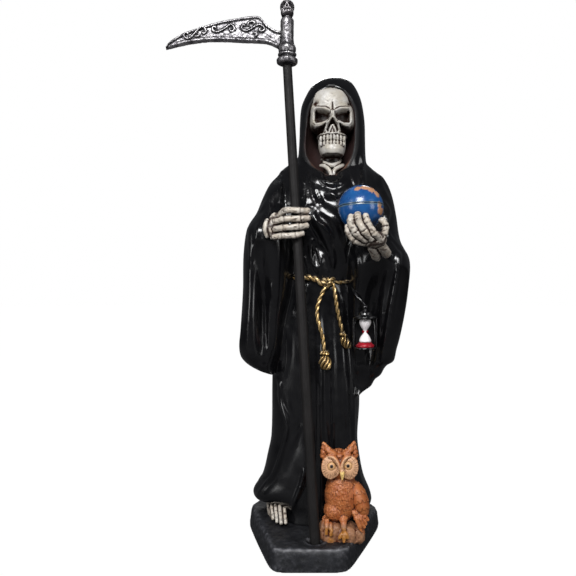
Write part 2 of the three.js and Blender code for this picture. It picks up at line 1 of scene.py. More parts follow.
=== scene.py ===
# Santa muerte figure: a cast resin skeleton in a hooded robe, a wooden staff and a silver scythe head.
# Shapes are worked out in millimetres above the plinth's top, and go into their meshes in metres.
import json
import math

import bpy
import numpy as np
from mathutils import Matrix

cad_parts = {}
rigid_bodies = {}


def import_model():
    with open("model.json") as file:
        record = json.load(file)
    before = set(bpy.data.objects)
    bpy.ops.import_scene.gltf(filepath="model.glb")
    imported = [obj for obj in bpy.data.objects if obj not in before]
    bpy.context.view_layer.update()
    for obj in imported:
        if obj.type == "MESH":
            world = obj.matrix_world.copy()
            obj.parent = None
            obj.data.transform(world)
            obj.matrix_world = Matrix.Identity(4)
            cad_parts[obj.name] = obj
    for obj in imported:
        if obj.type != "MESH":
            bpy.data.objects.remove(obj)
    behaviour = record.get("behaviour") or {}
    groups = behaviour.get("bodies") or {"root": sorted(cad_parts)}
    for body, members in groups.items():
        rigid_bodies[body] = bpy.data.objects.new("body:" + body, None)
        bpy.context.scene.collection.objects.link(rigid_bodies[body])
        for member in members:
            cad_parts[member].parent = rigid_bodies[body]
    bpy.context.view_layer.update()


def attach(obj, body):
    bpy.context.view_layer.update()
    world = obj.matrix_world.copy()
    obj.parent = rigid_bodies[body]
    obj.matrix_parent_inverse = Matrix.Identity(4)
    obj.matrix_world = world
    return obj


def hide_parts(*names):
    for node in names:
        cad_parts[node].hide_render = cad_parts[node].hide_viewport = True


for old in list(bpy.data.objects):
    bpy.data.objects.remove(old)
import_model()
print("frame loaded")

plinthHeight = 13
neckX = 12.6  # the head leans this far to the right
millimetre = 0.001  # in metres


# Curves and profiles


def through(pairs):
    # Hermite curve through (station, value) pairs: v0 + (v1 - v0)(3s^2 - 2s^3) + lean, level past both ends
    at, value = np.array(pairs, float).T
    slope = np.zeros(len(at))
    slope[1:-1] = (value[2:] - value[:-2]) / (at[2:] - at[:-2])

    def curve(t):
        t = np.clip(t, at[0], at[-1])
        i = np.clip(np.searchsorted(at, t, side="right") - 1, 0, len(at) - 2)
        span = at[i + 1] - at[i]
        s = (t - at[i]) / span
        lean = s * (1 - s) ** 2 * slope[i] - s * s * (1 - s) * slope[i + 1]
        return value[i] + (value[i + 1] - value[i]) * s * s * (3 - 2 * s) + span * lean

    return curve


def smooth(start, end, at):
    # 3t^2 - 2t^3 with t = (at - start) / (end - start), kept from 0 to 1
    t = np.clip((at - start) / (end - start), 0, 1)
    return t * t * (3 - 2 * t)


def bump(distance, width):
    # e^-(d / w)^2
    return np.exp(-((distance / width) ** 2))


def ridge(distance, width):
    # (1 + (d / w)^2)^-2, whose crest is sharper than a bump's
    return (1 + (distance / width) ** 2) ** -2


def signedPower(t, power):
    # |t|^power with the sign of t
    return np.sign(t) * np.abs(t) ** power


def unit(vectors):
    # v / |v|
    return vectors / np.maximum(np.linalg.norm(vectors, axis=-1, keepdims=True), 1e-9)


def onceRound(count):
    # even angles 2 pi i / count
    return np.arange(count) * 2 * np.pi / count


def lengthAlong(points):
    # sum of the steps from the first point to each
    return np.concatenate([[0], np.cumsum(np.linalg.norm(np.diff(points, axis=0), axis=1))])


def lumps(points, size, seed, count=14):
    # sum of sin(k . p + phase) over seeded waves about one size long, roughly from -1 to 1
    chance = np.random.default_rng(seed)
    waves = unit(chance.normal(size=(count, 3))) * chance.uniform(0.6, 1.5, (count, 1)) * 2 * np.pi / size
    return np.sin(points @ waves.T + chance.uniform(0, 2 * np.pi, count)).mean(axis=-1) * 2.2


def outlineDistance(corners, x, y):
    # distance to a closed outline: least over its sides of |p - nearest point|, below 0 inside
    corners = np.array(corners, float)
    best = np.full(np.shape(x), 1e9)
    inside = np.zeros(np.shape(x), bool)
    for (ax, ay), (bx, by) in zip(corners, np.roll(corners, -1, axis=0)):
        t = np.clip(((x - ax) * (bx - ax) + (y - ay) * (by - ay)) / ((bx - ax) ** 2 + (by - ay) ** 2), 0, 1)
        best = np.minimum(best, np.hypot(x - ax - t * (bx - ax), y - ay - t * (by - ay)))
        crossed = ((ay > y) != (by > y)) & (x < (bx - ax) * (y - ay) / (by - ay + 1e-12) + ax)
        inside ^= crossed
    return np.where(inside, -best, best)


# Skins: points, quads and triangles


def closed(grid):
    # a (rows, columns, 3) grid closed round its columns, each end row drawn in to its middle
    rows, columns = grid.shape[:2]
    index = np.arange(rows * columns).reshape(rows, columns)
    ahead = np.roll(index, -1, axis=1)
    quads = np.stack([index[:-1], ahead[:-1], ahead[1:], index[1:]], axis=-1).reshape(-1, 4)
    low = np.full(columns, rows * columns)
    fans = [np.stack([ahead[0], index[0], low], axis=-1), np.stack([index[-1], ahead[-1], low + 1], axis=-1)]
    points = np.concatenate([grid.reshape(-1, 3), grid[:1].mean(axis=1), grid[-1:].mean(axis=1)])
    return points, quads, np.concatenate(fans)


def joined(skins):
    # all the skins as one, their point numbers moved on
    offsets = np.cumsum([0] + [len(skin[0]) for skin in skins])
    points = np.concatenate([skin[0] for skin in skins])
    quads = np.concatenate([skin[1] + offset for skin, offset in zip(skins, offsets)])
    fans = np.concatenate([skin[2] + offset for skin, offset in zip(skins, offsets)])
    return points, quads, fans


def poleToPole(margin, rows, columns):
    # angles from pole to pole, short of either by the margin, and once round
    return np.meshgrid(np.linspace(margin, np.pi - margin, rows), onceRound(columns), indexing="ij")


def aboutZ(x, y, z, a):
    # (x cos a - y sin a, x sin a + y cos a, z)
    return np.stack([x * np.cos(a) - y * np.sin(a), x * np.sin(a) + y * np.cos(a), z], axis=-1)


def ball(centre, radii, rows=48, columns=72):
    # p = c + r (sin a cos b, sin a sin b, -cos a)
    a, b = poleToPole(0.03, rows, columns)
    grid = np.stack([np.sin(a) * np.cos(b), np.sin(a) * np.sin(b), -np.cos(a)], axis=-1)
    return closed(np.array(centre) + grid * np.array(radii))


def block(centre, half, power=0.4, turn=0.0, rows=20, columns=28):
    # a box with soft edges, each of a ball's sines and cosines raised to a small power, then turned about Z
    a, b = poleToPole(0.05, rows, columns)
    wide = signedPower(np.sin(a), power)
    x = half[0] * wide * signedPower(np.cos(b), power)
    y = half[1] * wide * signedPower(np.sin(b), power)
    z = -half[2] * signedPower(np.cos(a), power)
    return closed(np.array(centre) + aboutZ(x, y, z, turn))


def turned(profile, centre, columns=64, lobes=0, depth=0.0):
    # p = c + (r cos a, r sin a, z) along (radius, height) pairs, with r (1 + depth cos(lobes a))
    radius, height = np.array(profile, float).T
    a = onceRound(columns)
    r = radius[:, None] * (1 + depth * np.cos(lobes * a))
    grid = np.stack([r * np.cos(a), r * np.sin(a), np.repeat(height[:, None], columns, axis=1)], axis=-1)
    return closed(np.array(centre) + grid)


def route(points, step=0.25):
    # cubic Hermite path through the points, with its stations and the stations of the points
    points = np.array(points, float)
    knots = lengthAlong(points)
    slope = np.gradient(points, knots, axis=0)
    t = np.linspace(0, knots[-1], max(8, int(knots[-1] / step)))
    i = np.clip(np.searchsorted(knots, t, side="right") - 1, 0, len(knots) - 2)
    span = (knots[i + 1] - knots[i])[:, None]
    s = (t - knots[i])[:, None] / span
    start = (2 * s**3 - 3 * s**2 + 1) * points[i] + (s**3 - 2 * s**2 + s) * span * slope[i]
    end = (3 * s**2 - 2 * s**3) * points[i + 1] + (s**3 - s**2) * span * slope[i + 1]
    return start + end, t, knots


def across(path):
    # two unit vectors square to the path, taken from the plane that fits the path best
    way = unit(np.gradient(path, axis=0))
    flat = np.linalg.svd(path - path.mean(axis=0))[2][2]
    side = unit(flat - way * (way @ flat)[:, None])
    return side, np.cross(way, side)


def tube(path, radius, sides=20, flat=1.0):
    # p(t, a) = path(t) + r (side cos a + flat up sin a), r given for each t or for each t and a
    side, up = across(path)
    a = onceRound(sides)[:, None]
    swing = side[:, None] * np.cos(a) + flat * up[:, None] * np.sin(a)
    return closed(path[:, None] + np.reshape(radius, (len(path), -1, 1)) * swing)


def roundEnds(radius, t):
    # r sqrt(1 - (1 - d / r)^2) within one radius of either end
    near = np.clip(np.minimum(t - t[0], t[-1] - t) / np.maximum(radius, 0.1), 0, 1)
    return radius * np.sqrt(np.maximum(1 - (1 - near) ** 2, 0.0004))


def limb(points, radii, sides=20, flat=1.0):
    # a tube through the points with round ends, its radii spaced evenly along it
    path, t = route(points)[:2]
    radius = through(list(zip(np.linspace(0, t[-1], len(radii)), radii)))(t)
    return tube(path, roundEnds(radius, t), sides, flat)


def bone(joints, radius, slim=0.66):
    # r(t) = R (slim + (1.02 - slim) knob - 0.16 groove), knobs and fine grooves at the joints
    path, t, knots = route(joints)
    gap = np.abs(t[:, None] - knots).min(axis=1)
    knob = bump(gap, 0.85 * radius)
    groove = bump(gap, 0.2 * radius) * (np.abs(t - t[0]) > radius) * (np.abs(t[-1] - t) > radius)
    return tube(path, roundEnds(radius * (slim + (1.02 - slim) * knob - 0.16 * groove), t), 24)


def rope(path, radius, pitch, sides=24):
    # r(t, a) = R (0.58 + 0.42 |cos(a - 2 pi t / pitch)|), two strands laid round the path
    t = lengthAlong(path)
    twist = onceRound(sides) - 2 * np.pi * t[:, None] / pitch
    ends = roundEnds(np.full(len(t), radius), t)[:, None]
    return tube(path, ends * (0.58 + 0.42 * np.abs(np.cos(twist))), sides)


def scales(over, down, width, height):
    # overlapping scallops: each row is shifted half a scale, and each scale rises to its round lower edge
    row = np.floor(down / height)
    column = over / width + 0.5 * np.mod(row, 2)
    a = column - np.floor(column) - 0.5
    b = down / height - row
    edge = 1 - 1.7 * a * a
    return np.where(b < edge, b / edge, (b - edge) * 0.6)


# Meshes


def inMetres(points):
    # (p + (0, 0, plinth's height)) / 1000, all in one row
    return ((points + [0, 0, plinthHeight]) * millimetre).astype(np.float32).ravel()


def meshOf(name, skin):
    # a mesh of the skin's points, quads and triangles
    points, quads, fans = skin
    mesh = bpy.data.meshes.new(name)
    mesh.vertices.add(len(points))
    mesh.vertices.foreach_set("co", inMetres(points))
    corners = np.concatenate([quads.ravel(), fans.ravel()]).astype(np.int32)
    mesh.loops.add(len(corners))
    mesh.loops.foreach_set("vertex_index", corners)
    starts = np.concatenate([np.arange(len(quads)) * 4, len(quads) * 4 + np.arange(len(fans)) * 3])
    mesh.polygons.add(len(starts))
    mesh.polygons.foreach_set("loop_start", starts.astype(np.int32))
    mesh.update(calc_edges=True)
    return mesh


def rowsOf(items, field, width, kind):
    # one field of every item, in rows of the width
    flat = np.empty(len(items) * width, kind)
    items.foreach_get(field, flat)
    return flat.reshape(-1, width)


def pointsOf(mesh):
    # 1000 p - (0, 0, plinth's height)
    return rowsOf(mesh.vertices, "co", 3, np.float32).astype(float) * 1000 - [0, 0, plinthHeight]


def normalsOf(mesh):
    # the unit normal at each point
    return rowsOf(mesh.vertex_normals, "vector", 3, np.float32).astype(float)


def edgesOf(mesh):
    # the two points of each edge, by number
    return rowsOf(mesh.edges, "vertices", 2, np.int32)


def setPoints(mesh, points):
    # moves the mesh's points to new places
    mesh.vertices.foreach_set("co", inMetres(points))
    mesh.update()


def averaged(values, edges, share):
    # v + share (mean of the neighbours - v)
    count = np.bincount(edges.ravel(), minlength=len(values))
    total = np.zeros_like(values)
    for axis in range(values.shape[1]):
        total[:, axis] += np.bincount(edges[:, 0], values[edges[:, 1], axis], len(values))
        total[:, axis] += np.bincount(edges[:, 1], values[edges[:, 0], axis], len(values))
    return values + share * (total / np.maximum(count, 1)[:, None] - values)


def relaxed(mesh, rounds, share=None):
    # each round evens the skin by 0.5 and swells it back by 0.52, or only evens it by each point's share
    points, edges = pointsOf(mesh), edgesOf(mesh)
    for turn in range(rounds):
        even = averaged(points, edges, 0.5)
        points = averaged(even, edges, -0.52) if share is None else points + (even - points) * share[:, None]
    setPoints(mesh, points)


def linked(name, data):
    # a new object of the data, in the scene
    thing = bpy.data.objects.new(name, data)
    bpy.context.collection.objects.link(thing)
    return thing


def baked(shape):
    # the shape's mesh with its modifiers worked in; the shape itself goes
    ready = shape.evaluated_get(bpy.context.evaluated_depsgraph_get())
    mesh = bpy.data.meshes.new_from_object(ready)
    mesh.name = shape.name
    bpy.data.objects.remove(shape)
    return mesh


def merge(shape, voxel):
    # one closed skin of even quads, the voxel wide
    skin = shape.modifiers.new("merge", "REMESH")
    skin.mode = "VOXEL"
    skin.voxel_size = voxel * millimetre


def fused(name, skins, voxel, rounds, hollow=None):
    # one closed skin round all the skins, less the hollow, evened out
    shape = linked(name, meshOf(name, joined(skins)))
    merge(shape, voxel)
    if hollow:
        cutter = linked(name + "Cutter", meshOf(name + "Cutter", hollow))
        cut = shape.modifiers.new("cut", "BOOLEAN")
        cut.operation = "DIFFERENCE"
        cut.object = cutter
        merge(shape, voxel)
    mesh = baked(shape)
    if hollow:
        bpy.data.objects.remove(cutter)
    relaxed(mesh, rounds)
    print(f"{name}: {len(mesh.polygons)} faces")
    return mesh


def push(mesh, amount):
    # p + n amount(p, n)
    points, normals = pointsOf(mesh), normalsOf(mesh)
    setPoints(mesh, points + normals * amount(points, normals)[:, None])


def thinned(mesh, share, keep, steps=10):
    # fewer faces where keep is 0, all of them where it is 1
    shape = linked(mesh.name, mesh)
    group = shape.vertex_groups.new(name="thin")
    for step in range(1, steps + 1):
        chosen = np.nonzero(np.round(steps * (1 - keep)) == step)[0]
        group.add(chosen.tolist(), step / steps, "REPLACE")
    thin = shape.modifiers.new("thin", "DECIMATE")
    thin.ratio = share
    thin.vertex_group = "thin"
    thin.vertex_group_factor = 1.0
    return baked(shape)


def mark(mesh, name, values):
    # the values as an attribute of the points, kept from 0 to 1
    layer = mesh.attributes.get(name) or mesh.attributes.new(name, "FLOAT", "POINT")
    layer.data.foreach_set("value", np.clip(values, 0, 1).astype(np.float32))


def markRelief(mesh, rounds, size):
    # lift = n . (p - p evened out): below 0 in a crevice, above 0 on an edge, as shares of the size,
    # taken for fine forms and again for forms twice as broad
    points, edges, normals = pointsOf(mesh), edgesOf(mesh), normalsOf(mesh)
    even = points
    lifts = []
    for turn in range(4 * rounds):
        even = averaged(even, edges, 0.5)
        if turn + 1 in (rounds, 4 * rounds):
            lifts.append(((points - even) * normals).sum(axis=1) / size)
    mark(mesh, "hollow", np.maximum(-lifts[0], -0.5 * lifts[1]))
    mark(mesh, "crest", lifts[0])


# Robe, sleeves and hood

robe = {
    "levels": (-0.6, 240, 320),
    "voxel": 0.8,
    "share": 0.61,
    "fullness": 2.3,
    "left": through([
        (-1, -29), (4, -30), (8, -33), (11, -38), (13.5, -40.2), (17, -39.6), (26, -34), (42, -30),
        (53, -27.9), (85, -27.3), (150, -26.6), (190, -28), (208, -29), (219, -26), (225, -24), (230, -21),
        (235, -15), (240, -10),
    ]),
    "right": through([
        (-1, 34), (4, 35), (7.5, 38.8), (10, 39.4), (15, 38.2), (26, 33.8), (42, 30.7), (53, 29.7),
        (75, 31), (150, 31), (190, 38), (208, 45), (219, 46.5), (225, 45), (230, 41), (235, 36), (240, 33),
    ]),
    "front": through([
        (-1, -19.5), (20, -18.5), (60, -17.5), (100, -18), (155, -16.5), (190, -20.5), (200, -19.6),
        (205, -18), (210, -16.2), (215, -14.3), (220, -12.2), (226, -8.6), (232, -4), (240, 3),
    ]),
    "back": through([(-1, 42), (10, 42), (38, 37), (80, 33), (150, 29), (190, 32), (219, 33), (240, 28)]),
    # each fold: height, width, then (level, x) pairs
    "folds": [
        (2, 5, (6, -37), (17, -35), (37, -24), (65, -16), (85, -20), (94, -24)),
        (-1.2, 4, (30, -17), (60, -8), (84, -12)),
        (2.2, 3.4, (4, -14), (35, -5), (75, -2), (140, -4)),
        (2.4, 3, (4, 6), (80, 5), (145, 3.5)),
        (-1.6, 2.6, (20, 10.5), (80, 9), (145, 7.5)),
        (1.8, 3, (4, 15), (80, 13), (145, 11)),
        (2.6, 3, (4, 25), (80, 21), (140, 18)),
        (3, 3.2, (6, 36), (33, 30), (80, 27), (130, 25)),
        (2.2, 3, (80, -21), (145, -17)),
        (2.2, 2.6, (132, -9), (154, -4)),
        (2.2, 2.6, (134, 15), (154, 12)),
        (2.2, 2.6, (134, 26), (154, 21)),
        (2.2, 2.6, (157, -3), (178, -7)),
        (2, 2.6, (157, 5), (174, 6)),
        (3.6, 3.8, (157, 20), (175, 21), (192, 17), (210, 1)),
        (2.8, 3.2, (164, 13), (185, 10), (204, -6)),
        (-2.2, 3.4, (165, 0), (180, 1), (196, -4)),
        (-1.6, 3, (196, 10), (212, 6), (222, 3)),
        (2.4, 2.6, (186, -8), (205, -6.4), (229, -6)),
        (3.4, 3, (186, 27), (205, 31), (229, 33)),
    ],
    # places where the cloth falls in: x, level, half width, half height, depth
    "dents": [(-23, 4, 8, 8, 10), (-31, 3, 6, 6, 9), (-8, 7, 5, 7, 1.5)],
    # narrow creases that the brush of light picks out: height, width, then (x, level) points
    "creases": [
        (1.3, 1, (-6.3, 207), (-6.3, 213), (-6.2, 219.5)),
        (1.2, 1.1, (-4.3, 201.5), (-4, 214), (-3.4, 226)),
        (1.8, 2.2, (-1.2, 202), (-1.2, 208), (-1.8, 218.5)),
        (1.3, 1.1, (4.6, 202.5), (1.8, 206.5), (-0.6, 211.5), (-2, 219)),
        (1.2, 1.1, (4.6, 201.5), (5.1, 205.5), (3.4, 210.5), (1.6, 215.5)),
        (0.9, 1, (2.2, 201), (1, 205.5), (0.2, 208)),
        (1.2, 1.6, (12.5, 163), (11, 173.5), (8, 181), (5.5, 186), (1.5, 192.5), (0.5, 201.5)),
        (1.2, 1.6, (20.5, 166), (17, 179), (14.5, 187.5), (11.5, 193.5), (7.5, 197), (3, 199.5)),
        (1.2, 1.3, (4.5, 161), (2, 163.5), (-0.5, 167), (-1.5, 171), (-1.5, 176), (0, 183)),
        (0.8, 1.1, (4.5, 163), (5, 168), (3.5, 173), (1.5, 178), (0, 183)),
        (0.9, 1, (11.5, 159), (12.5, 163.5), (13, 169)),
        (0.9, 1, (21, 159), (20.5, 172)),
        (0.9, 1, (24.5, 157), (23.5, 172)),
        (0.9, 1, (27.5, 157), (28, 162), (26.5, 174)),
        (1.3, 1.3, (4.5, 221.7), (8.4, 217.8), (11.6, 217), (18, 218.4)),
        (0.9, 1, (7.5, 215.5), (10.5, 212), (13, 209.8), (15.6, 207.6)),
        (0.9, 1.4, (-37.5, 162), (-38.5, 171), (-39, 180.5), (-40, 191)),
        (0.9, 1.4, (-37.8, 168), (-35, 181.5), (-33.5, 191.5)),
        (0.8, 1, (-26, 197.5), (-27, 201), (-28.5, 205), (-29.5, 209)),
        (0.7, 1, (-34.5, 198), (-31.5, 203), (-30, 207)),
        (0.8, 1.7, (-20.5, 204), (-21, 214), (-20.5, 226)),
        (0.8, 1.7, (-15.5, 204), (-16, 223)),
        (0.7, 1, (-25, 145), (-26, 154)),
        (0.9, 1.1, (-28, 108), (-27.5, 125), (-27.5, 144)),
        (0.6, 1.1, (-19.5, 92), (-16.5, 103), (-16, 115.5), (-17, 127)),
        (0.5, 1.1, (-21.5, 92), (-21, 102), (-22, 112)),
        (1.6, 1.3, (43.6, 103), (44.5, 113), (46, 122), (47.5, 134), (49.5, 146.5), (51.5, 158.5),
         (52.5, 166.5), (53.5, 175)),
        (0.8, 1, (56.5, 173), (53, 178.5), (48, 184)),
        (0.8, 1, (52, 171), (50, 177), (46, 182.5)),
        (0.7, 1, (58.5, 171), (55.5, 178), (50.5, 185)),
        (0.8, 1.4, (49, 208), (45.5, 217), (44, 226)),
        (1.2, 1.3, (50.5, 180), (47.5, 184.5), (46, 189.5), (47, 194.5), (48.5, 199.5), (45, 207)),
        (0.8, 1.3, (41, 118), (43.5, 148), (46.5, 162)),
        (0.8, 1.3, (36, 104), (38, 125), (40, 150)),
        (1.5, 1.1, (-38, 13), (-31, 23), (-26.5, 29), (-23, 37), (-20.5, 45), (-17.5, 56), (-16.5, 62),
         (-17, 67), (-19.5, 73.5), (-21.5, 81), (-21, 91)),
        (0.4, 1.1, (-19, 77), (-20.5, 85), (-22, 89.5), (-24, 94.5)),
        (0.5, 1.3, (-14, 48), (-11, 56.5), (-6, 65)),
        (1.5, 1.1, (-14.5, 7), (-12, 15), (-9.5, 21), (-7, 28), (-5, 37)),
        (0.6, 1, (4.5, 30), (4.6, 60), (4.5, 91)),
        (0.6, 1, (9.5, 56), (9, 80), (9, 108)),
        (0.6, 1.1, (17.5, 60), (17.6, 80), (17.2, 100)),
        (0.6, 1, (23, 50), (22.5, 75), (22, 96)),
        (0.6, 1, (27, 50), (26, 75), (25, 98)),
        (0.8, 1.1, (38, 13), (36, 20.5), (32, 30), (29, 41)),
        (0.6, 1, (35, 13), (33.5, 20), (30.5, 28), (28, 38)),
        (1.2, 1.3, (32.4, 214), (32.7, 226), (32.6, 240)),
        (0.8, 1, (27.5, 216), (25.5, 222), (24, 228)),
    ],
    # rings of the cowl round the neck: radius, width, height
    "cowlLevel": 226,
    "cowlRings": [(7.5, 1.8, 2), (13, 2.2, 2.2)],
    "pleats": 3,
    "pleatDepth": 2.2,
}
rightSleeve = {
    "levels": (95.8, 229, 180),
    "fullness": 2.2,
    "left": through([
        (95.8, -28), (97, -33), (98.6, -37), (100.4, -40.4), (102.7, -43.6), (105.3, -46), (108, -47.3),
        (113.8, -47.9), (123.5, -47), (149.4, -45.4), (172, -45), (188, -43), (193, -41), (199, -37.4),
        (209, -33.6), (220, -28.4), (229, -22),
    ]),
    "right": through([
        (95.8, -24), (110, -20), (132, -17), (146, -14), (160, -12), (180, -11), (195, -15), (229, -15),
    ]),
    "front": through([
        (96, -20), (110, -26), (150, -30), (182, -32.4), (186, -32), (191, -28.4), (200, -20), (214, -12),
        (229, 2),
    ]),
    "back": through([(96, 10), (110, 16), (187, 22), (208, 23), (229, 12)]),
    "folds": [
        (2.4, 6, (98, -41), (112, -42), (150, -40), (190, -40)),
        (-10, 5.5, (102, -31), (140, -31), (180, -32)),
        (1.6, 2.5, (150, -31), (182, -28)),
        (1.5, 3, (185, -34), (205, -27), (220, -22)),
    ],
}
leftSleeve = {
    "levels": (81, 229, 200),
    "fullness": 2.2,
    "left": through([(81, 27), (100, 24), (229, 20)]),
    "right": through([
        (81, 30), (84, 33.6), (86.2, 37.4), (87.8, 38.8), (91.2, 40.2), (92.6, 42), (94.6, 44.4), (98, 46),
        (101.4, 48.6), (102.8, 51.8), (104.4, 52.9), (110.9, 54.2), (117.3, 56), (130.2, 58.8), (143, 60.9),
        (155, 62.2), (163, 62.7), (168, 62.4), (171.9, 61.4), (175.1, 59.8), (181.5, 57.2), (199, 55),
        (215, 52), (225, 47), (229, 42),
    ]),
    "front": through([
        (81, -14), (103, -24), (150, -31), (164, -34.6), (169, -34.2), (175, -30), (184, -22), (204, -15),
        (229, 2),
    ]),
    "back": through([(81, 6), (103, 14), (170, 22), (208, 24), (229, 12)]),
    "folds": [
        (3, 2.6, (100, 44), (112, 46), (140, 49), (162, 52), (176, 53)),
        (-15, 8, (82, 33), (112, 36), (140, 38), (172, 43)),
        (1.8, 2, (84, 33), (120, 34), (165, 40)),
        (1.6, 2, (90, 38), (120, 41), (170, 47)),
        (1.6, 3, (176, 50), (200, 45), (220, 38)),
    ],
}
hood = {
    "levels": (222, 292.8, 140),
    "fullness": 2.2,
    "left": through([
        (222, -14), (230, -11.5), (240, -10), (250, -9.3), (262, -8.9), (272, -8), (278, -5.7), (285, -1.6),
        (289, 2.8), (291.4, 6.8), (292.8, 12),
    ]),
    "right": through([
        (222, 40), (232, 36.6), (240, 35.6), (250, 35.3), (262, 35), (272, 33.6), (278, 32), (285, 28.6),
        (289, 25.4), (291.4, 22.6), (292.8, 18),
    ]),
    "front": through([
        (222, -5), (240, -7.5), (262, -9), (274, -9), (281, -7), (287, -3), (291, 3), (292.8, 8),
    ]),
    "back": through([(222, 28), (240, 32), (262, 34), (275, 32), (285, 25), (290.6, 17), (292.8, 12)]),
}
hoodHollow = {
    "levels": (224, 281.5, 80),
    "fullness": 2.6,
    "left": through([
        (224, 8), (230, 1), (240, -4.5), (255, -4), (266, -2.5), (273, 1), (279, 6), (281.5, 10),
    ]),
    "right": through([
        (224, 15), (230, 21), (240, 25.7), (255, 27.2), (266, 26.5), (273, 23.5), (279, 19), (281.5, 14),
    ]),
    "front": lambda z: np.full(np.shape(z), -20.0),
    "back": through([(224, 6), (240, 13), (270, 13), (281.5, 4)]),
}


def section(form, z, angle):
    # rounded box between four side curves: x = mx + hx c^(2/n), y = my + hy s^(2/n)
    left, right, front, back = (form[side](z) for side in ("left", "right", "front", "back"))
    power = 2 / form["fullness"]
    x = (left + right) / 2 + (right - left) / 2 * signedPower(np.cos(angle), power)
    y = (front + back) / 2 + (back - front) / 2 * signedPower(np.sin(angle), power)
    return x, y


def foldRise(folds, x, z):
    # each fold adds h sin(pi t)^0.7 ridge(x - x(z), w), t from its low end to its high end
    rise = np.zeros(np.shape(x))
    for height, width, *pairs in folds:
        low, high = pairs[0][0], pairs[-1][0]
        t = np.clip((z - low) / (high - low), 0, 1)
        rise += height * np.sin(np.pi * t) ** 0.7 * ridge(x - through(pairs)(z), 1.25 * width)
    return rise


def robeRise(x, z):
    # folds, less d e^-(dx/w)^2 e^-(dz/t)^2 at each dent, plus h e^-((d - r)/w)^2 at each ring of the cowl
    dents = sum(-depth * bump(x - dx, wide) * bump(z - dz, tall)
                for dx, dz, wide, tall, depth in robe["dents"])
    level = robe["cowlLevel"]
    ring = np.hypot(x - neckX, (z - level) * 0.8)
    below = smooth(level, level - 6, z) * smooth(13, 8, np.abs(x - neckX))
    cowl = below * sum(height * bump(ring - radius, wide) for radius, wide, height in robe["cowlRings"])
    return foldRise(robe["folds"], x, z) + dents + cowl


def creaseRise(p, n):
    # each crease adds h (e^-(d/w)^2 - 0.3 e^-((d - 2w)/w)^2), d the distance to its line, fading at its ends;
    # only on what faces the front
    x, z = p[:, 0], p[:, 2]
    rise = np.zeros(len(p))
    for height, width, *points in robe["creases"]:
        line = route(np.array([(*point, 0) for point in points], float), 1.5)[0][:, :2]
        low, high = line.min(axis=0) - 6, line.max(axis=0) + 6
        near = (x > low[0]) & (x < high[0]) & (z > low[1]) & (z < high[1])
        gaps = np.hypot(x[near, None] - line[:, 0], z[near, None] - line[:, 1])
        place = gaps.argmin(axis=1) / (len(line) - 1)
        ends = np.sqrt(np.clip(4 * place * (1 - place), 0, 1))
        gap = gaps.min(axis=1)
        crest = bump(gap, width) - 0.3 * bump(gap - 2 * width, width)
        rise[near] += height * (0.1 + 0.9 * ends) * crest * (ends > 0)
    return rise * smooth(0.05, 0.45, -n[:, 1]) * smooth(12, 4, p[:, 1])


def formSkin(form, angles, rise=None, ripple=None):
    # the form's skin, its front out by the rise and all of it out by the ripple
    z, angle = np.meshgrid(np.linspace(*form["levels"]), angles, indexing="ij")
    x, y = section(form, z, angle)
    if rise:
        y = y - rise(x, z) * np.sqrt(np.clip(-1.6 * np.sin(angle), 0, 1))
    if ripple is not None:
        swell = ripple(z, angle)
        x = x + swell * np.cos(angle)
        y = y + swell * np.sin(angle)
    return closed(np.stack([x, y, z], axis=-1))


def clothFront(x, z):
    # y of the robe's front at x and level z
    left, right, front, back = (robe[side](z) for side in ("left", "right", "front", "back"))
    c = np.clip(np.abs((x - (left + right) / 2) / ((right - left) / 2)), 0, 1)
    s = (1 - c ** robe["fullness"]) ** (1 / robe["fullness"])
    return (front + back) / 2 - (back - front) / 2 * s - robeRise(x, z)


def roundAngles(front, back):
    # angles once round from +X by way of the back, closer together in front
    return np.concatenate([np.arange(back) * np.pi / back, np.pi + np.arange(front) * np.pi / front])


def withinHollow(x, y, z):
    # |2 (x - mx) / w|^n + |y / b|^n with the hollow's middle, width, back and fullness: 1 on its wall
    left, right, back = (hoodHollow[side](z) for side in ("left", "right", "back"))
    power = hoodHollow["fullness"]
    over = np.abs((x - (left + right) / 2) / ((right - left) / 2))
    return over**power + np.abs(np.clip(y + 3, 0, 99) / (back + 3)) ** power


def robeMesh():
    # robe, sleeves and hood as one skin, less the hood's hollow, with creases pressed out of its front
    def ripple(z, angle):
        behind = np.sqrt(np.clip(1.6 * np.sin(angle), 0, 1))
        return -robe["pleatDepth"] * behind * np.cos(2 * robe["pleats"] * angle) * smooth(218, 120, z)

    skins = [formSkin(robe, roundAngles(300, 120), robeRise, ripple)]
    for sleeve in (rightSleeve, leftSleeve):
        skins.append(formSkin(sleeve, roundAngles(160, 60), lambda x, z: foldRise(sleeve["folds"], x, z)))
    skins.append(formSkin(hood, roundAngles(100, 80)))
    mesh = fused("robe", skins, robe["voxel"], 7, formSkin(hoodHollow, roundAngles(60, 60)))
    x, y, z = pointsOf(mesh).T
    rim = bump(withinHollow(x, y, z) - 1, 0.16) * smooth(-2, -5, y) * smooth(222, 228, z)
    relaxed(mesh, 16, np.clip(1.5 * rim, 0, 1))
    chest = smooth(196, 202, z) * smooth(224, 219, z) * smooth(-6, -10, y)
    sleeveTip = smooth(94, 89, z) * smooth(20, 25, x) * smooth(74, 79, z)
    relaxed(mesh, 10, 0.3 + 0.6 * np.maximum(chest, sleeveTip))
    push(mesh, creaseRise)
    relaxed(mesh, 2, np.full(len(mesh.vertices), 0.8))
    mesh = thinned(mesh, robe["share"], smooth(0.35, -0.05, normalsOf(mesh)[:, 1]))
    relaxed(mesh, 3, np.full(len(mesh.vertices), 0.6))
    return mesh


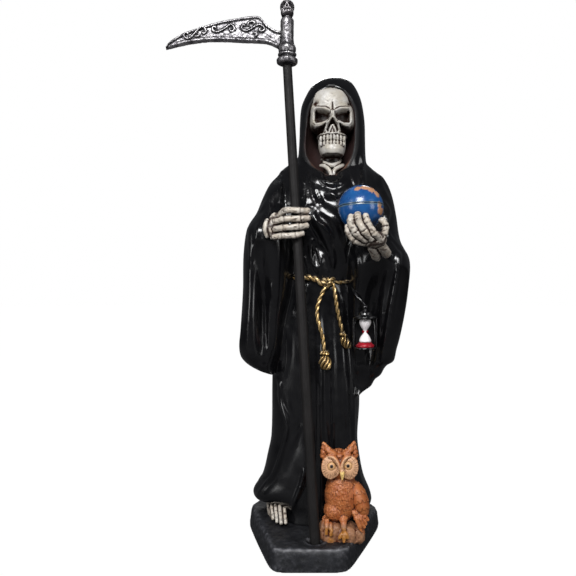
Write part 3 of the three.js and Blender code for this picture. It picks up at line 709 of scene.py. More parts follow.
def markHood(mesh):
    # the hollow's lining, the matt paint in and round it, and the paler collar, where the lining is painted
    # as if lit, more on its right, by how far within its wall
    x, y, z = pointsOf(mesh).T
    within = withinHollow(x, y, z)
    behindRim = np.maximum(smooth(-2, 1, y), smooth(-0.85, -0.5, normalsOf(mesh)[:, 1]))
    lining = smooth(1.3, 1.08, within) * behindRim
    mark(mesh, "lining", lining * smooth(221.5, 224.5, z) * smooth(283, 281, z))
    mark(mesh, "inside", smooth(1.9, 1.4, within) * smooth(222, 226, z) * smooth(284.2, 283, z))
    # collar: painted light on the lining round the neck, stronger on the right
    collar = bump(within - 1, 0.26) * smooth(236, 230, z) * smooth(222.5, 225.5, z) * smooth(3, 1, y)
    mark(mesh, "collar", collar * (0.45 + 0.55 * smooth(neckX, neckX + 5, x)))


# Skull and neck

skull = {
    "levels": (236.6, 281.2, 200),
    "voxel": 0.34,
    "fullness": 2.3,
    "half": through([
        (236.6, 5.8), (237.4, 7), (240, 8.2), (244, 9), (249, 9.2), (250.2, 10.2), (251.4, 8.8), (252.8, 9),
        (253.8, 12), (255, 13.7), (257.4, 14.4), (260, 14.6), (264, 14.3), (268, 13.8), (271.5, 12.6),
        (276, 11.4), (280, 8.6), (283, 3.2),
    ]),
    "front": through([
        (236.6, -9), (237.2, -11.2), (238.6, -12), (243, -11.5), (248, -10.5), (253, -10), (262, -10),
        (268, -10.5), (274, -10), (279, -8.5), (283, -4),
    ]),
    "back": through([(236.6, 8), (250, 14), (283, 8)]),
    "socket": [
        (2, 261.4), (2.3, 263.6), (5.6, 265.1), (10.6, 266), (11.4, 265), (11.4, 259), (10.4, 257.9),
        (7.2, 257.9), (3.6, 259.2),
    ],
    "cheek": [
        (13.6, 253.8), (9.4, 254.2), (6.6, 255.6), (4.4, 257.2), (4.9, 254.4), (6, 251.2), (13, 250.8),
    ],
    "nose": [
        (-0.5, 260), (1.2, 258.8), (2.8, 256.2), (4, 252.6), (2.7, 252), (1.9, 254.4), (0.9, 256.2),
        (-0.5, 256.6),
    ],
    "brow": through([(0, 263.6), (1.7, 265.9), (4.5, 267.5), (7, 267.9), (12, 268.6)]),
    "toothPitch": 2.05,
    "teeth": 8,
    "toothWidth": 1.62,
    "rows": [(247.9, 1.75), (244.5, 1.3)],  # level and half height
    # collarbones: radii, then points
    "collarBones": [
        ((1, 1.5, 1), (5.3, 2, 236), (8.5, -2.5, 232.4), (12.4, -4.4, 230.8), (16.4, -3, 232.7),
         (18.8, 2, 235.6)),
        ((1.2, 1.3, 1.3, 1.1), (4.4, 0, 231.4), (8, -4.6, 230), (10.4, -6.2, 227.6), (11.6, -7.2, 224.4),
         (11, -7.6, 221.6)),
        ((1, 0.9), (11, -7.2, 222.6), (7.8, -7, 222.6), (4.8, -4.6, 223.8)),
        ((1.2, 1.3, 1.1), (20.6, 0, 231.9), (16.4, -4.6, 229.4), (13.9, -6.2, 227.4), (13.2, -7.2, 223.6)),
    ],
}
skull["left"] = lambda z: neckX - 1.2 * smooth(264, 276, z) - skull["half"](z)
skull["right"] = lambda z: neckX - 1.2 * smooth(264, 276, z) + skull["half"](z)


def skullRise(x, z):
    # how far the face goes out or in, by the distance from each outline and line of it
    over = x - neckX
    side = np.abs(over)
    edge = outlineDistance(skull["socket"], side, z)
    noseEdge = outlineDistance(skull["nose"], side, z)
    rise = -6.4 * smooth(0.3, -0.9, edge) + 1.7 * bump(edge - 1.5, 1.3)  # sockets and their thick rims
    rise -= 0.7 * bump(edge - 1.7, 0.35) * smooth(260, 258, z) * smooth(4, 6, side)  # line under the sockets
    rise += -3.4 * smooth(0.15, -0.5, noseEdge) + 0.9 * bump(noseEdge - 0.7, 0.6)
    rise -= 1.3 * bump(side - 1.7 - 0.3 * (263 - z), 0.45) * smooth(257.5, 259.5, z) * smooth(267, 265, z)
    rise += 1.6 * bump(over, 2.2) * bump(z - 263, 3.4)  # bridge of the nose
    browLine = bump(z - skull["brow"](side), 0.55)
    rise -= 0.9 * browLine * smooth(12.5, 10.5, side) * smooth(0.4, 2, side)
    rise -= 1.5 * bump(over, 0.45) * bump(z - 267.6, 2.8)  # frown
    rise -= 2 * bump(side - 11.4, 1.8) * bump(z - 270.6, 1.8)  # temples
    rise -= 6 * smooth(0.4, -0.7, outlineDistance(skull["cheek"], side, z))
    rise += 0.9 * bump(z - 250.6, 0.7) * smooth(9.6, 8.4, side)
    rise += 0.3 * np.cos(2 * np.pi * over / skull["toothPitch"]) * bump(z - 252.2, 1.3) * smooth(9, 7, side)
    bed = smooth(9.2, 8.4, side) * smooth(243.2, 243.9, z) * smooth(250.2, 249.5, z)  # of the teeth
    rise -= 1.3 * bed
    rise += 0.4 * bump(side - 3.6, 2.4) * bump(z - 240.6, 1.6)  # chin
    return rise


def skullMesh():
    # skull, teeth, neck and collarbones; shade darkens the sockets, nose and cheek hollows, partly their own
    # dark paint and partly painted shade, and is painted shade under the chin, at the sides behind the face
    # and at the throat
    skins = [formSkin(skull, roundAngles(260, 40), skullRise)]
    for level, half in skull["rows"]:
        for i in range(skull["teeth"]):
            over = (i - (skull["teeth"] - 1) / 2) * skull["toothPitch"]
            place = (neckX + over, -9.7 + 0.035 * over * over, level - 0.012 * over * over)
            skins.append(block(place, (skull["toothWidth"] / 2, 1.5, half), 0.45, over * 0.07))
    skins.append(limb([(neckX, 8, 214), (neckX, 5, 226), (neckX, 6, 242)], [8, 6, 6.5], 40))
    skins += [limb(points, radii) for radii, *points in skull["collarBones"]]
    mesh = fused("skull", skins, skull["voxel"], 2)
    push(mesh, lambda p, n: 0.06 * lumps(p, 5, 3) + 0.05 * lumps(p, 1.8, 4))
    x, y, z = pointsOf(mesh).T
    side = np.abs(x - neckX)
    # shade: painted shade in the depths, under the down-facing faces, at the sides behind the face and at the
    # throat, with the sockets' own dark paint
    deep = smooth(-7.5, -5, y) * smooth(258.5, 255.5, z) * smooth(249, 250, z)
    for name, outer, inner in (("socket", -0.1, -1), ("nose", 0.1, -0.4), ("cheek", 0.2, -0.4)):
        deep = np.maximum(deep, smooth(outer, inner, outlineDistance(skull[name], side, z)))
    down = smooth(-0.45, -0.8, normalsOf(mesh)[:, 2])
    deep = np.maximum(deep, down * smooth(249.6, 251, z) * smooth(257, 255.5, z))
    throat = smooth(236.8, 235.4, z) * smooth(-2.6, -1.4, y)
    underChin = down * smooth(239, 237.8, z) * smooth(235, 236, z)
    mark(mesh, "shade", np.maximum(deep, np.maximum(throat, underChin)) * smooth(16, 12, y))
    return mesh


# Hands and globe

rightHand = {
    "grip": (-10, -34.5),
    "voxel": 0.32,
    # each finger round the staff: radius, then its joints
    "fingers": [
        (2.2, (-20, -35.5, 195), (-16.8, -39.4, 197.2), (-7.6, -41, 197), (-1.9, -37.6, 197.2)),
        (2.25, (-24, -34.5, 190.8), (-17, -39.8, 192), (-7.4, -41, 192.2), (-1.8, -37.4, 193)),
        (2.25, (-25, -34.5, 186), (-17.6, -39.8, 186.9), (-8.4, -40.6, 187.4), (-2.6, -37.2, 188.6)),
        (2.15, (-24.6, -34.8, 181.8), (-18.6, -39.2, 182), (-10.6, -40, 182.4), (-5.2, -37.2, 184)),
    ],
}


def markBones(mesh, bones, seed):
    # dark beside each bone, where the distance to its middle line, seen from the front, nears its radius:
    # painted shade between the bones over their brown wash; dark too at its joints, and in streaks of a
    # stretched noise
    points = pointsOf(mesh)
    beside = np.full(len(points), 9.0)
    joint = np.full(len(points), 9.0)
    for radius, joints in bones:
        path, t, knots = route(joints, 0.5)
        gaps = np.hypot(points[:, None, 0] - path[:, 0], points[:, None, 2] - path[:, 2])
        nearest = gaps.argmin(axis=1)
        ratio = gaps.min(axis=1) / radius
        knotGap = np.abs(t[nearest][:, None] - knots[1:-1]).min(axis=1)
        joint = np.where(ratio < beside, knotGap, joint)
        beside = np.minimum(beside, ratio)
    # painted shade along each bone's sides and between the bones, over their brown wash
    line = smooth(0.6, 0.9, beside) * smooth(1.7, 1.3, beside)
    ring = bump(joint, 0.4) * smooth(1.2, 0.9, beside)
    streak = 0.8 * smooth(0.25, 0.7, lumps(points * [0.55, 1, 1.3], 2.6, seed))
    mark(mesh, "gap", 0.95 * np.maximum(np.maximum(line, 0.75 * ring), streak))


def rightHandMesh():
    # bones of the fingers and thumb round the staff, and the palm beside it
    gx, gy = rightHand["grip"]
    skins = [bone(joints, radius, 0.84) for radius, *joints in rightHand["fingers"]]
    skins.append(bone([(gx - 12, gy + 3, 189), (gx - 4, gy + 6.2, 193), (gx + 4, gy + 5.4, 195)], 2.2))
    skins.append(ball((gx - 13, gy + 2, 188.2), (4.8, 4, 8.6)))
    for back, reach in ((14.4, 6.8), (17.4, 6)):
        skins.append(limb([(gx - back, gy + 0.6, 187 + reach), (gx - back - 1.6, gy - 1.6, 187),
                           (gx - back, gy + 0.6, 187 - reach)], [1.4, 1.6, 1.4]))
    for z in (190, 184):
        skins.append(limb([(gx - 12, gy + 1, z), (gx - 17, gy + 5, z)], [3, 3]))
    mesh = fused("rightHand", skins, rightHand["voxel"], 2)
    push(mesh, lambda p, n: 0.16 * lumps(p, 4.5, 5) + 0.11 * lumps(p, 1.7, 7))
    markBones(mesh, [(radius, joints) for radius, *joints in rightHand["fingers"]], 41)
    return mesh


globe = {"centre": (28.9, -38, 198.9), "radius": 13.7}
leftHand = {
    "voxel": 0.32,
    "radius": 2.35,
    "fingers": [
        [(20.3, -49.5, 188.2), (21, -51.5, 183), (24, -51, 178.8), (31, -47, 177)],
        [(22.4, -51.5, 193.4), (21.8, -54.2, 189), (24.6, -55, 183), (32, -50, 178)],
        [(26, -52.5, 194.8), (26.2, -55.2, 190), (29.2, -56, 184), (35, -51, 178.5)],
        [(30.2, -52.5, 194), (31.6, -54.8, 188.4), (35, -54.5, 183), (39.4, -49, 179)],
        [(39.6, -47.5, 192), (42.6, -48, 187), (41.6, -48, 182), (38, -47, 179)],
    ],
}


def leftHandMesh():
    # bones of the fingers under the globe, the palm and the two bones of the arm
    skins = [bone(joints, leftHand["radius"], 0.82) for joints in leftHand["fingers"]]
    skins.append(ball((35.5, -46, 179.5), (8, 6, 5)))
    skins.append(limb([(38, -45, 179), (42.5, -39, 174), (45.6, -30, 171.4)], [3.6, 3, 3.2]))
    skins.append(limb([(35, -43, 177), (37.4, -37, 172), (39.4, -28, 169)], [3.4, 2.9, 2.8]))
    mesh = fused("leftHand", skins, leftHand["voxel"], 2)
    push(mesh, lambda p, n: 0.16 * lumps(p, 4.5, 6) + 0.11 * lumps(p, 1.7, 8))
    markBones(mesh, [(leftHand["radius"], joints) for joints in leftHand["fingers"]], 42)
    return mesh


def globeMesh():
    # a ball with a raised band, a groove beside it and patches of land, each a seeded blob round its place
    centre, radius = np.array(globe["centre"]), globe["radius"]
    points, quads, fans = ball(globe["centre"], (radius, radius, radius), 100, 160)
    local = (points - centre) / radius
    band = local[:, 2] - 0.03 + 0.05 * local[:, 1] - 0.04 * local[:, 0]
    places = unit(np.array([(-0.17, -0.6, 0.78), (0.09, -0.57, 0.82), (0.4, -0.56, 0.73), (0.62, -0.55, 0.56),
                            (0.78, -0.6, 0.06), (0.8, -0.55, -0.2), (-0.95, 0.3, 0.2), (0.1, 0.95, 0.3),
                            (-0.3, 0.6, -0.7)]))
    sizes = np.array([0.15, 0.18, 0.19, 0.16, 0.13, 0.2, 0.36, 0.45, 0.4])
    gap = np.linalg.norm(local[:, None] - places, axis=2) - sizes
    land = smooth(0.03, -0.03, gap.min(axis=1) + 0.08 * lumps(local, 0.5, 8) + 0.03 * lumps(local, 0.16, 9))
    line, seam, second = bump(band, 0.018), bump(band - 0.04, 0.016), bump(band - 0.08, 0.018)
    lift = 0.3 * land + 0.25 * line - 0.35 * seam + 0.2 * second
    mesh = meshOf("globe", (points + unit(local) * lift[:, None], quads, fans))
    mark(mesh, "land", land)
    mark(mesh, "band", line + 0.7 * second)
    mark(mesh, "seam", seam)
    return mesh


# Rope belt, cords and hourglass

belt = {
    "level": 155.4,
    "pitch": 9,
    "cordPitch": 9.5,
    "knotPitch": 5,
    # each part of the belt in front: radius, then its ends across the robe
    "parts": [(1.9, -13, 10), (1.3, 9, 30)],
    # the knot's loops: radius, then (x, distance behind the cloth's front, level) points
    "knot": [
        (1.6, (5, 1, 153.6), (7.4, -1, 155.8), (10.4, -1.4, 155.2), (12, 0.6, 152.4)),
        (1.4, (13.6, 1, 156.4), (11.6, -1.6, 156), (9.8, -1.8, 153), (8.6, 0.4, 150.8)),
    ],
}
cords = [
    # radius, how far the tassel leans, its size, then (x, level) points
    (1.3, 0.08, 1, (9.4, 154), (7.4, 150.5), (4.8, 145), (2.9, 139), (2.6, 134), (3.9, 127.5),
     (6.2, 119.5), (7.2, 109.4)),
    (1.3, 0.32, 0.84, (12.8, 154.4), (13.6, 150), (14.3, 145), (15.2, 138.5), (16.8, 131), (19.4, 121)),
]
tassel = [
    (0.05, -10.2), (1.6, -10), (2.9, -8.6), (3.6, -6.2), (3.4, -4), (2.5, -2.2), (1.9, -1.2), (2.5, -0.5),
    (2.7, 0.4), (2.1, 1.3), (1.7, 1.8), (0.05, 2),
]


def beltMesh():
    # ropes laid on the cloth: the belt behind and in front, two cords with their tassels, the knot's loops
    level = belt["level"]
    angle = np.linspace(0.12, np.pi - 0.12, 260)
    x, y = section(robe, np.full(260, float(level)), angle)
    skins = [rope(np.stack([x, y + 0.6, 0 * x + level], axis=-1), 1.9, belt["pitch"])]
    for radius, left, right in belt["parts"]:
        x = np.linspace(left, right, 110)
        z = level + 2.2 * smooth(8, -6, x) - 1.8 * bump(x - 6, 3) - 1.2 * bump(x - 17, 6)
        skins.append(rope(np.stack([x, clothFront(x, z) - 0.6 * radius, z], axis=-1), radius, belt["pitch"]))
    rim = through([(height, wide) for wide, height in tassel])
    height = np.linspace(tassel[0][1], tassel[-1][1], 60)
    for radius, lean, size, *points in cords:
        x, z = np.array(points, float).T
        path = route(np.stack([x, clothFront(x, z) - 1, z], axis=-1))[0]
        path[:, 1] = np.minimum(path[:, 1], clothFront(path[:, 0], path[:, 2]) - 0.6 * radius)
        skins.append(rope(path, radius, belt["cordPitch"]))
        hanging, quads, fans = turned(list(zip(size * rim(height), size * height)), (0, 0, 0), 72, 7, 0.15)
        x, y, z = hanging.T
        swung = aboutZ(x, y, z, 0.22 * z)
        swung[:, 0] -= lean * z
        skins.append((swung + path[-1] - [0, 1, 0.2], quads, fans))
    front = clothFront(np.array(9.6), np.array(154.0)) - 1.2
    for radius, *points in belt["knot"]:
        path = route([(x, front + behind, z) for x, behind, z in points])[0]
        skins.append(rope(path, radius, belt["knotPitch"]))
    return meshOf("belt", joined(skins))


hourglass = {"x": 32.4, "y": -25.0}


def glassMesh():
    # both bulbs of the hourglass, one profile turned
    x, y = hourglass["x"], hourglass["y"]
    profile = through([
        (117.2, 3.5), (118, 3.7), (120.5, 2.8), (122.6, 1.2), (123.6, 0.95), (124.6, 1.2), (126.6, 2.6),
        (129, 3.6), (131, 3.5),
    ])
    height = np.linspace(117.2, 131, 60)
    return meshOf("hourglassBulbs", turned(list(zip(profile(height), height)), (x, y - 1, 0)))


def redMesh():
    # the red foot and the red bead between the bulbs
    x, y = hourglass["x"], hourglass["y"]
    foot = [(0.05, 113.7), (5.4, 113.8), (5.8, 114.3), (5.6, 115.4), (4.4, 116.2), (4, 117), (0.05, 117.2)]
    neck = [(0.05, 122.6), (1.7, 122.8), (1.9, 123.6), (1.7, 124.4), (0.05, 124.6)]
    return meshOf("hourglassRed", joined([turned(foot, (x, y, 0)), turned(neck, (x, y, 0))]))


def cageMesh():
    # cap, base, four bars, chain and the holder behind
    x, y = hourglass["x"], hourglass["y"]
    cap = [
        (0.05, 130.8), (5.4, 131), (6.6, 131.3), (7.6, 132), (7.4, 132.8), (5.4, 133.4), (4.2, 134.4),
        (4.4, 135), (3, 135.8), (1.5, 136.6), (1.1, 137.4), (1.9, 138.4), (1.7, 139.6), (0.05, 140.2),
    ]
    base = [(0.05, 112.6), (7, 112.8), (7.2, 113.3), (6.8, 113.9), (0.05, 114)]
    skins = [turned(cap, (x, y, 0)), turned(base, (x, y, 0))]
    for side in (-1, 1):
        bar = [(x + 6.9 * side, y + 1, 113.4), (x + 7.1 * side, y + 1, 125), (x + 6.8 * side, y + 1, 132.4)]
        skins.append(limb(bar, [0.75, 0.65, 0.75]))
        skins.append(limb([(x + 4.6 * side, y + 5.4, 113.4), (x + 4.6 * side, y + 5.4, 132.4)], [0.7, 0.7]))
    skins.append(limb([(24.5, -17, 152), (27, y + 2, 146), (30.6, y, 142), (x, y, 139.4)], [0.8, 0.8], 14))
    skins.append(block((x, y + 5.4, 122), (7.2, 2.8, 9)))
    return meshOf("hourglassCage", joined(skins))


# Owl on its rock

owl = {
    "voxel": 0.36,
    "head": (15.8, -36, 43),
    "discs": [(10.5, 43.9), (21.6, 43.8)],
    "eyes": [(11, 45), (20.8, 45.3)],
    "discSize": (5.4, 7.2),
    "chest": (17.2, -34, 24.6),
    "wing": (28.2, -35.5, 22.6),
    "wingTilt": 0.3,
    # each tuft: from the brow outwards, then from the side of the head up to the same tip
    "tufts": [
        [(14, -42, 51), (10, -41.6, 53), (6.2, -40, 58.2)],
        [(6.2, -39, 48), (6.6, -39.4, 52.4), (6.2, -40, 58)],
        [(17.4, -42, 51), (21, -41.6, 53), (24.8, -40, 59)],
        [(25.4, -39, 48.4), (24.8, -39.4, 53), (24.8, -40, 58.8)],
    ],
    "brows": [
        [(9, -43, 52), (13, -44.4, 49.4), (15.8, -45, 45), (17, -45, 42)],
        [(22.4, -43, 52.4), (19, -44.4, 49.6), (17.4, -45, 45), (17.2, -45, 42)],
    ],
    # the leg, its three claws and two claws of the other foot: radii, then points
    "legs": [
        ((3, 1.9, 1.7), (17.8, -40, 14), (18.2, -44, 10), (18.2, -45.4, 6.4)),
        ((1.3, 1.25, 0.8), (18.2, -44.6, 7), (16.6, -47.2, 5), (15, -47.6, 2.6)),
        ((1.3, 1.25, 0.8), (18.2, -44.6, 7), (18.2, -47.2, 5), (18.2, -48.6, 0.8)),
        ((1.3, 1.25, 0.8), (18.2, -44.6, 7), (19.5, -47.2, 5), (20.8, -47.6, 3)),
        ((1.4, 1.3, 0.8), (8.4, -42, 13), (8, -45.4, 9), (8, -46, 4.6)),
        ((1.2, 1.1, 0.8), (10.4, -42, 11), (10.6, -45.6, 7.4), (10.6, -46.2, 3.8)),
    ],
    # blocks of the rock: middle, half sizes, turn
    "rocks": [((11, -36, 2.6), (6.4, 9, 7.6), 0.2), ((17, -35, 1.6), (9.4, 9.8, 6.8), -0.15)],
}


def owlFace(x, z):
    # for either side of the face: |p - disc| in shares of its size, and x and z from the eye
    wide, tall = owl["discSize"]
    return [(np.hypot((x - dx) / wide, (z - dz) / tall), x - ex, z - ez)
            for (dx, dz), (ex, ez) in zip(owl["discs"], owl["eyes"])]


def overWing(x, z):
    # across and along the tilted wing: (x cos t + z sin t, z cos t - x sin t) from its middle
    c, s = math.cos(owl["wingTilt"]), math.sin(owl["wingTilt"])
    x, z = x - owl["wing"][0], z - owl["wing"][2]
    return x * c + z * s, z * c - x * s


def feathers(p, n):
    # scales on chest, wing and crown, rays and rims of the face's discs, and a rough rock below
    x, y, z = p.T
    around = np.arctan2(x - 17.4, -(y + 34))
    acrossWing, alongWing = overWing(x, z)
    wingPart = smooth(1.15, 0.95, np.hypot(acrossWing / 5.4, alongWing / 11.6)) * smooth(-33, -36, y)
    chestPart = smooth(37.5, 35, z) * smooth(11, 13, z) * (1 - wingPart)
    crown = smooth(46.5, 48.5, z) * smooth(-46, -43, y)
    stray = 1.6 * lumps(p, 3.4, 14)
    rise = 0.3 * chestPart * scales(around * 11.5 + stray, 60 - z + 1.6 * lumps(p, 3.8, 15), 1.3, 3)
    rise += 0.16 * chestPart * lumps(p * [1.4, 1, 0.6], 1.8, 16)
    rise += 0.45 * wingPart * scales(acrossWing + 0.2 * stray, 30 - alongWing - 0.1 * acrossWing**2, 2.5, 5)
    rise += 0.5 * crown * scales(x + 0.3 * stray, 80 - z + 0.5 * np.abs(x - 15.6), 1.4, 2.8)
    inFront = y < -41.5
    for gap, ex, ez in owlFace(x, z):
        rays = np.cos(26 * np.arctan2(ex, ez) + 2 * stray) * smooth(0.35, 0.6, gap) * smooth(1.05, 0.9, gap)
        eye = np.hypot(ex, ez)
        rise += inFront * (0.14 * rays)
        rise += inFront * (0.35 * bump(gap - 0.93, 0.09) - 0.4 * bump(eye - 2.4, 0.35) + 0.4 * bump(eye, 1.2))
    return rise + smooth(9.5, 7, z) * (0.5 * lumps(p, 6, 12) + 0.15 * lumps(p, 2, 13))


def owlMesh():
    # head, chest, discs, tufts, brows, beak, wing and its tips, legs and rock
    skins = [ball(owl["head"], (10.6, 8.8, 7.8)), ball(owl["chest"], (9.8, 10, 17), 72, 96)]
    skins.append(ball((13.2, -37, 16.4), (6.6, 7, 6.6)))
    skins.append(ball((15.6, -37.4, 49.4), (8.4, 5.4, 4)))
    wide, tall = owl["discSize"]
    skins += [ball((x, -42, z), (wide, 3.2, tall)) for x, z in owl["discs"]]
    skins += [limb(points, [2.4, 2.2, 0.7], 20, 0.8) for points in owl["tufts"]]
    skins += [limb(points, [1, 1.3, 1.1, 0.8]) for points in owl["brows"]]
    skins.append(limb([(17.2, -42, 43), (17.3, -46, 41), (17.3, -46.6, 37)], [1.5, 1.4, 0.6], 20, 0.9))
    wing, quads, fans = ball((0, 0, 0), (5, 8, 11), 60, 80)
    tilt = owl["wingTilt"]
    turn = np.array([[math.cos(tilt), 0, -math.sin(tilt)], [0, 1, 0], [math.sin(tilt), 0, math.cos(tilt)]])
    skins.append((wing @ turn.T + owl["wing"], quads, fans))
    for i in range(4):
        tip = [(24 + i * 1.1, -40 + 0.5 * i, 17.6 - 0.1 * i), (26.8 + i * 1.3, -41.8 + 0.6 * i, 11 + i),
               (29.6 + i * 1.3, -41.6 + 0.6 * i, 4.2 + 2.2 * i)]
        skins.append(limb(tip, [1.3, 1.45, 1], 20, 0.9))
    skins += [limb(points, radii) for radii, *points in owl["legs"]]
    skins += [block(middle, half, 0.6, turn) for middle, half, turn in owl["rocks"]]
    skins.append(limb([(6.2, -41, 0), (5.8, -41, 8), (7, -40, 14)], [1.8, 1.5, 0.9]))
    skins.append(block((25, -34, 1), (6, 7, 5), 0.6, 0.3))
    mesh = fused("owl", skins, owl["voxel"], 2)
    push(mesh, feathers)
    x, y, z = pointsOf(mesh).T
    disc = np.zeros(len(x))
    eye = np.full(len(x), 99.0)
    for gap, ex, ez in owlFace(x, z):
        disc = np.maximum(disc, smooth(1.05, 0.95, gap) * smooth(-40.6, -41.4, y))
        eye = np.minimum(eye, np.hypot(ex, ez) + 50 * (y > -41))
    beak = smooth(1.9, 1.4, np.abs(x - 17.3)) * smooth(-45, -45.6, y)
    claws = smooth(4.4, 3.4, np.abs(x - 18)) * smooth(9.5, 7.5, z) * smooth(-45, -45.8, y)
    claws += smooth(3.6, 2.8, np.abs(x - 9.3)) * smooth(10, 8, z) * smooth(-44.8, -45.5, y)
    mark(mesh, "disc", disc)
    mark(mesh, "eye", smooth(1.15, 0.95, eye))
    mark(mesh, "eyeRing", 0.8 * bump(eye - 1.9, 0.5))
    mark(mesh, "beak", beak * smooth(36.4, 37, z) * smooth(42.6, 41.8, z))
    mark(mesh, "foot", claws)
    mark(mesh, "stone", smooth(12, 9, z - 0.3 * np.maximum(x - 22, 0)) * smooth(34.5, 32, x + z))
    return mesh


# Foot of bone, plinth and staff


bareFoot = {
    "voxel": 0.33,
    "radius": 1.35,
    "toes": [
        [(-30, 5, 8.6), (-29.4, 1.6, 5.8), (-28.8, -0.4, 3.4), (-28.3, -1.8, 1.3)],
        [(-27.4, 1, 10.4), (-26.7, -5.4, 7.4), (-26, -8.8, 4.4), (-25.5, -11.2, 1.3)],
        [(-24.6, -2, 11.6), (-23.9, -10.4, 8), (-23.2, -14.2, 4.8), (-22.7, -16.8, 1.3)],
        [(-21.8, -4, 12), (-21.1, -13.2, 8.2), (-20.4, -17.2, 4.8), (-19.9, -19.8, 1.3)],
        [(-18.8, -4, 11), (-18.2, -12.8, 7.4), (-17.6, -16.6, 4.4), (-17.1, -19, 1.3)],
    ],
}


def footMesh():
    # the instep and five toes of bone
    skins = [ball((-22.4, -1, 4), (7, 9, 6.4))]
    skins += [bone(joints, bareFoot["radius"], 0.86) for joints in bareFoot["toes"]]
    mesh = fused("foot", skins, bareFoot["voxel"], 2)
    markBones(mesh, [(bareFoot["radius"], joints) for joints in bareFoot["toes"]], 43)
    return mesh


plinth = {
    "width": 87,
    "depth": 112,
    "corners": [(-1, 0.4), (-0.54, -1), (0.46, -1), (1.04, 0.36), (0.55, 1.02), (-0.72, 1.02)],
    # level and inset of each ring of its side
    "rings": [
        (-13.2, -1.2), (-12.4, -1.4), (-10.5, -1.4), (-6, -0.9), (-2.6, -0.3), (-1.2, 0.3), (-0.4, 1),
        (0, 2),
    ],
}


def worn(p, n):
    # lumps above the underside, and a dip with a rim round the staff's hole
    x, y, z = p.T
    free = smooth(-12.6, -10.5, z)
    hole = np.hypot(x - staff["foot"][0], y - staff["foot"][1])
    dip = -2.2 * bump(hole - 3.6, 1.1) + 0.5 * bump(hole - 6.2, 1.2)
    return free * (0.35 * lumps(p, 16, 21) + 0.16 * lumps(p, 5, 22)) + dip * (n[:, 2] > 0.6)


def plinthMesh():
    # six worn sides, soft corners and a flat underside; rubbed is a paler line along the top's front edge,
    # broken into patches: rubbed paint and a painted highlight
    corners = np.array(plinth["corners"]) * [plinth["width"] / 2, plinth["depth"] / 2]
    share = np.linspace(0, 1, 60, endpoint=False)[:, None]
    sides = zip(corners, np.roll(corners, -1, axis=0))
    outline = np.concatenate([a + (b - a) * share for a, b in sides])
    for turn in range(60):
        outline = 0.5 * outline + 0.25 * (np.roll(outline, 1, axis=0) + np.roll(outline, -1, axis=0))
    reach = np.linalg.norm(outline, axis=1, keepdims=True)
    rings = [np.column_stack([outline * (1 - inset / reach), np.full(len(outline), z)])
             for z, inset in plinth["rings"]]
    mesh = fused("plinth", [closed(np.array(rings))], 0.95, 8)
    push(mesh, worn)
    points = pointsOf(mesh)
    points[:, 2] = np.where(points[:, 2] < 0.4 - plinthHeight, -plinthHeight, points[:, 2])
    setPoints(mesh, points)
    # a painted highlight with rubbed paint along the top's front edge, on the faces towards the front only
    edge = bump(points[:, 2] + 0.7, 0.5) * smooth(-0.2, -0.6, normalsOf(mesh)[:, 1])
    mark(mesh, "rubbed", edge * (0.55 + 0.45 * lumps(points, 5, 23)))
    return mesh


staff = {"foot": (1.2, -43.5, 0), "grip": (-10, -34.5, 189), "radius": (3.2, 2.9), "length": 308, "hole": 8}


def onStaff(along):
    # p = foot + d (grip - foot) / |grip - foot|, d above the plinth's top
    foot, grip = np.array(staff["foot"]), np.array(staff["grip"])
    return foot + unit(grip - foot) * np.reshape(along, (-1, 1))


def staffMesh():
    # a rod that tapers evenly from its hole up, with 9 and 15 shallow waves of grain round it
    along = np.linspace(0.3 - staff["hole"], staff["length"] - staff["hole"], 240)
    t = (along - along[0]) / (along[-1] - along[0])
    radius = staff["radius"][0] + (staff["radius"][1] - staff["radius"][0]) * t
    a = onceRound(48)
    grain = 0.06 * np.cos(9 * a + 1.2 * np.sin(along / 31)[:, None])
    grain += 0.04 * np.cos(15 * a + along[:, None] / 40)
    return meshOf("staff", tube(onStaff(along), radius[:, None] - 0.08 + grain, 48))


# Scythe head, drawn with its socket's middle at x = 0 and the collar's lower edge at level 0

scythe = {
    "reach": 72,
    "thickness": 2.6,
    "socket": 8.2,
    "collar": 13,
    "collarLength": 12,
    "socketLength": 18,
    "finial": 10,
    "sink": 11,
    "root": 1.5,
    "drop": 1.6,
    "scroll": 0.58,
    "voxel": 0.3,
}
bladeBack = through([
    (-1, 0.008), (-0.985, 0.028), (-0.955, 0.058), (-0.84, 0.125), (-0.69, 0.176), (-0.552, 0.218),
    (-0.41, 0.245), (-0.26, 0.268), (-0.196, 0.26), (-0.138, 0.195), (-0.063, 0.148), (0, 0.138),
])
bladeEdge = through([
    (-1, -0.022), (-0.962, -0.014), (-0.814, 0.02), (-0.674, 0.04), (-0.509, 0.045), (-0.345, 0.036),
    (-0.155, 0.028), (-0.097, 0.012), (-0.03, -0.02), (0, -0.03),
])


def bladeSkin():
    # rows along the blade, columns round its section: thickness falls to an edge below, a rounded back above
    reach = scythe["reach"]
    place = np.linspace(-1, 0, 300)
    low, high = bladeEdge(place) * reach, bladeBack(place) * reach
    a = onceRound(96)
    middle = (low + high) / 2
    half = np.maximum((high - low) / 2, 0.8 * np.sqrt(smooth(-1, -0.985, place)) + 0.1)
    z = middle[:, None] + half[:, None] * signedPower(np.sin(a), 0.6)
    above, below = z - low[:, None], high[:, None] - z
    thick = scythe["thickness"] / 2 * smooth(-0.4, 2.4, above) ** 0.8
    y = -signedPower(np.cos(a), 0.35) * np.minimum(thick, 0.25 + half[:, None])
    bevel = 0.3 * bump(below - 0.8, 0.6) - 0.4 * bump(below - 2, 0.4) - 0.2 * bump(above - 2.6, 0.35)
    y += np.sign(y) * bevel
    x = np.repeat((place * reach - scythe["socket"] / 2 + scythe["root"])[:, None], len(a), axis=1)
    return closed(np.stack([x, y, z + scythe["collarLength"] - scythe["drop"]], axis=-1)[:, ::-1])


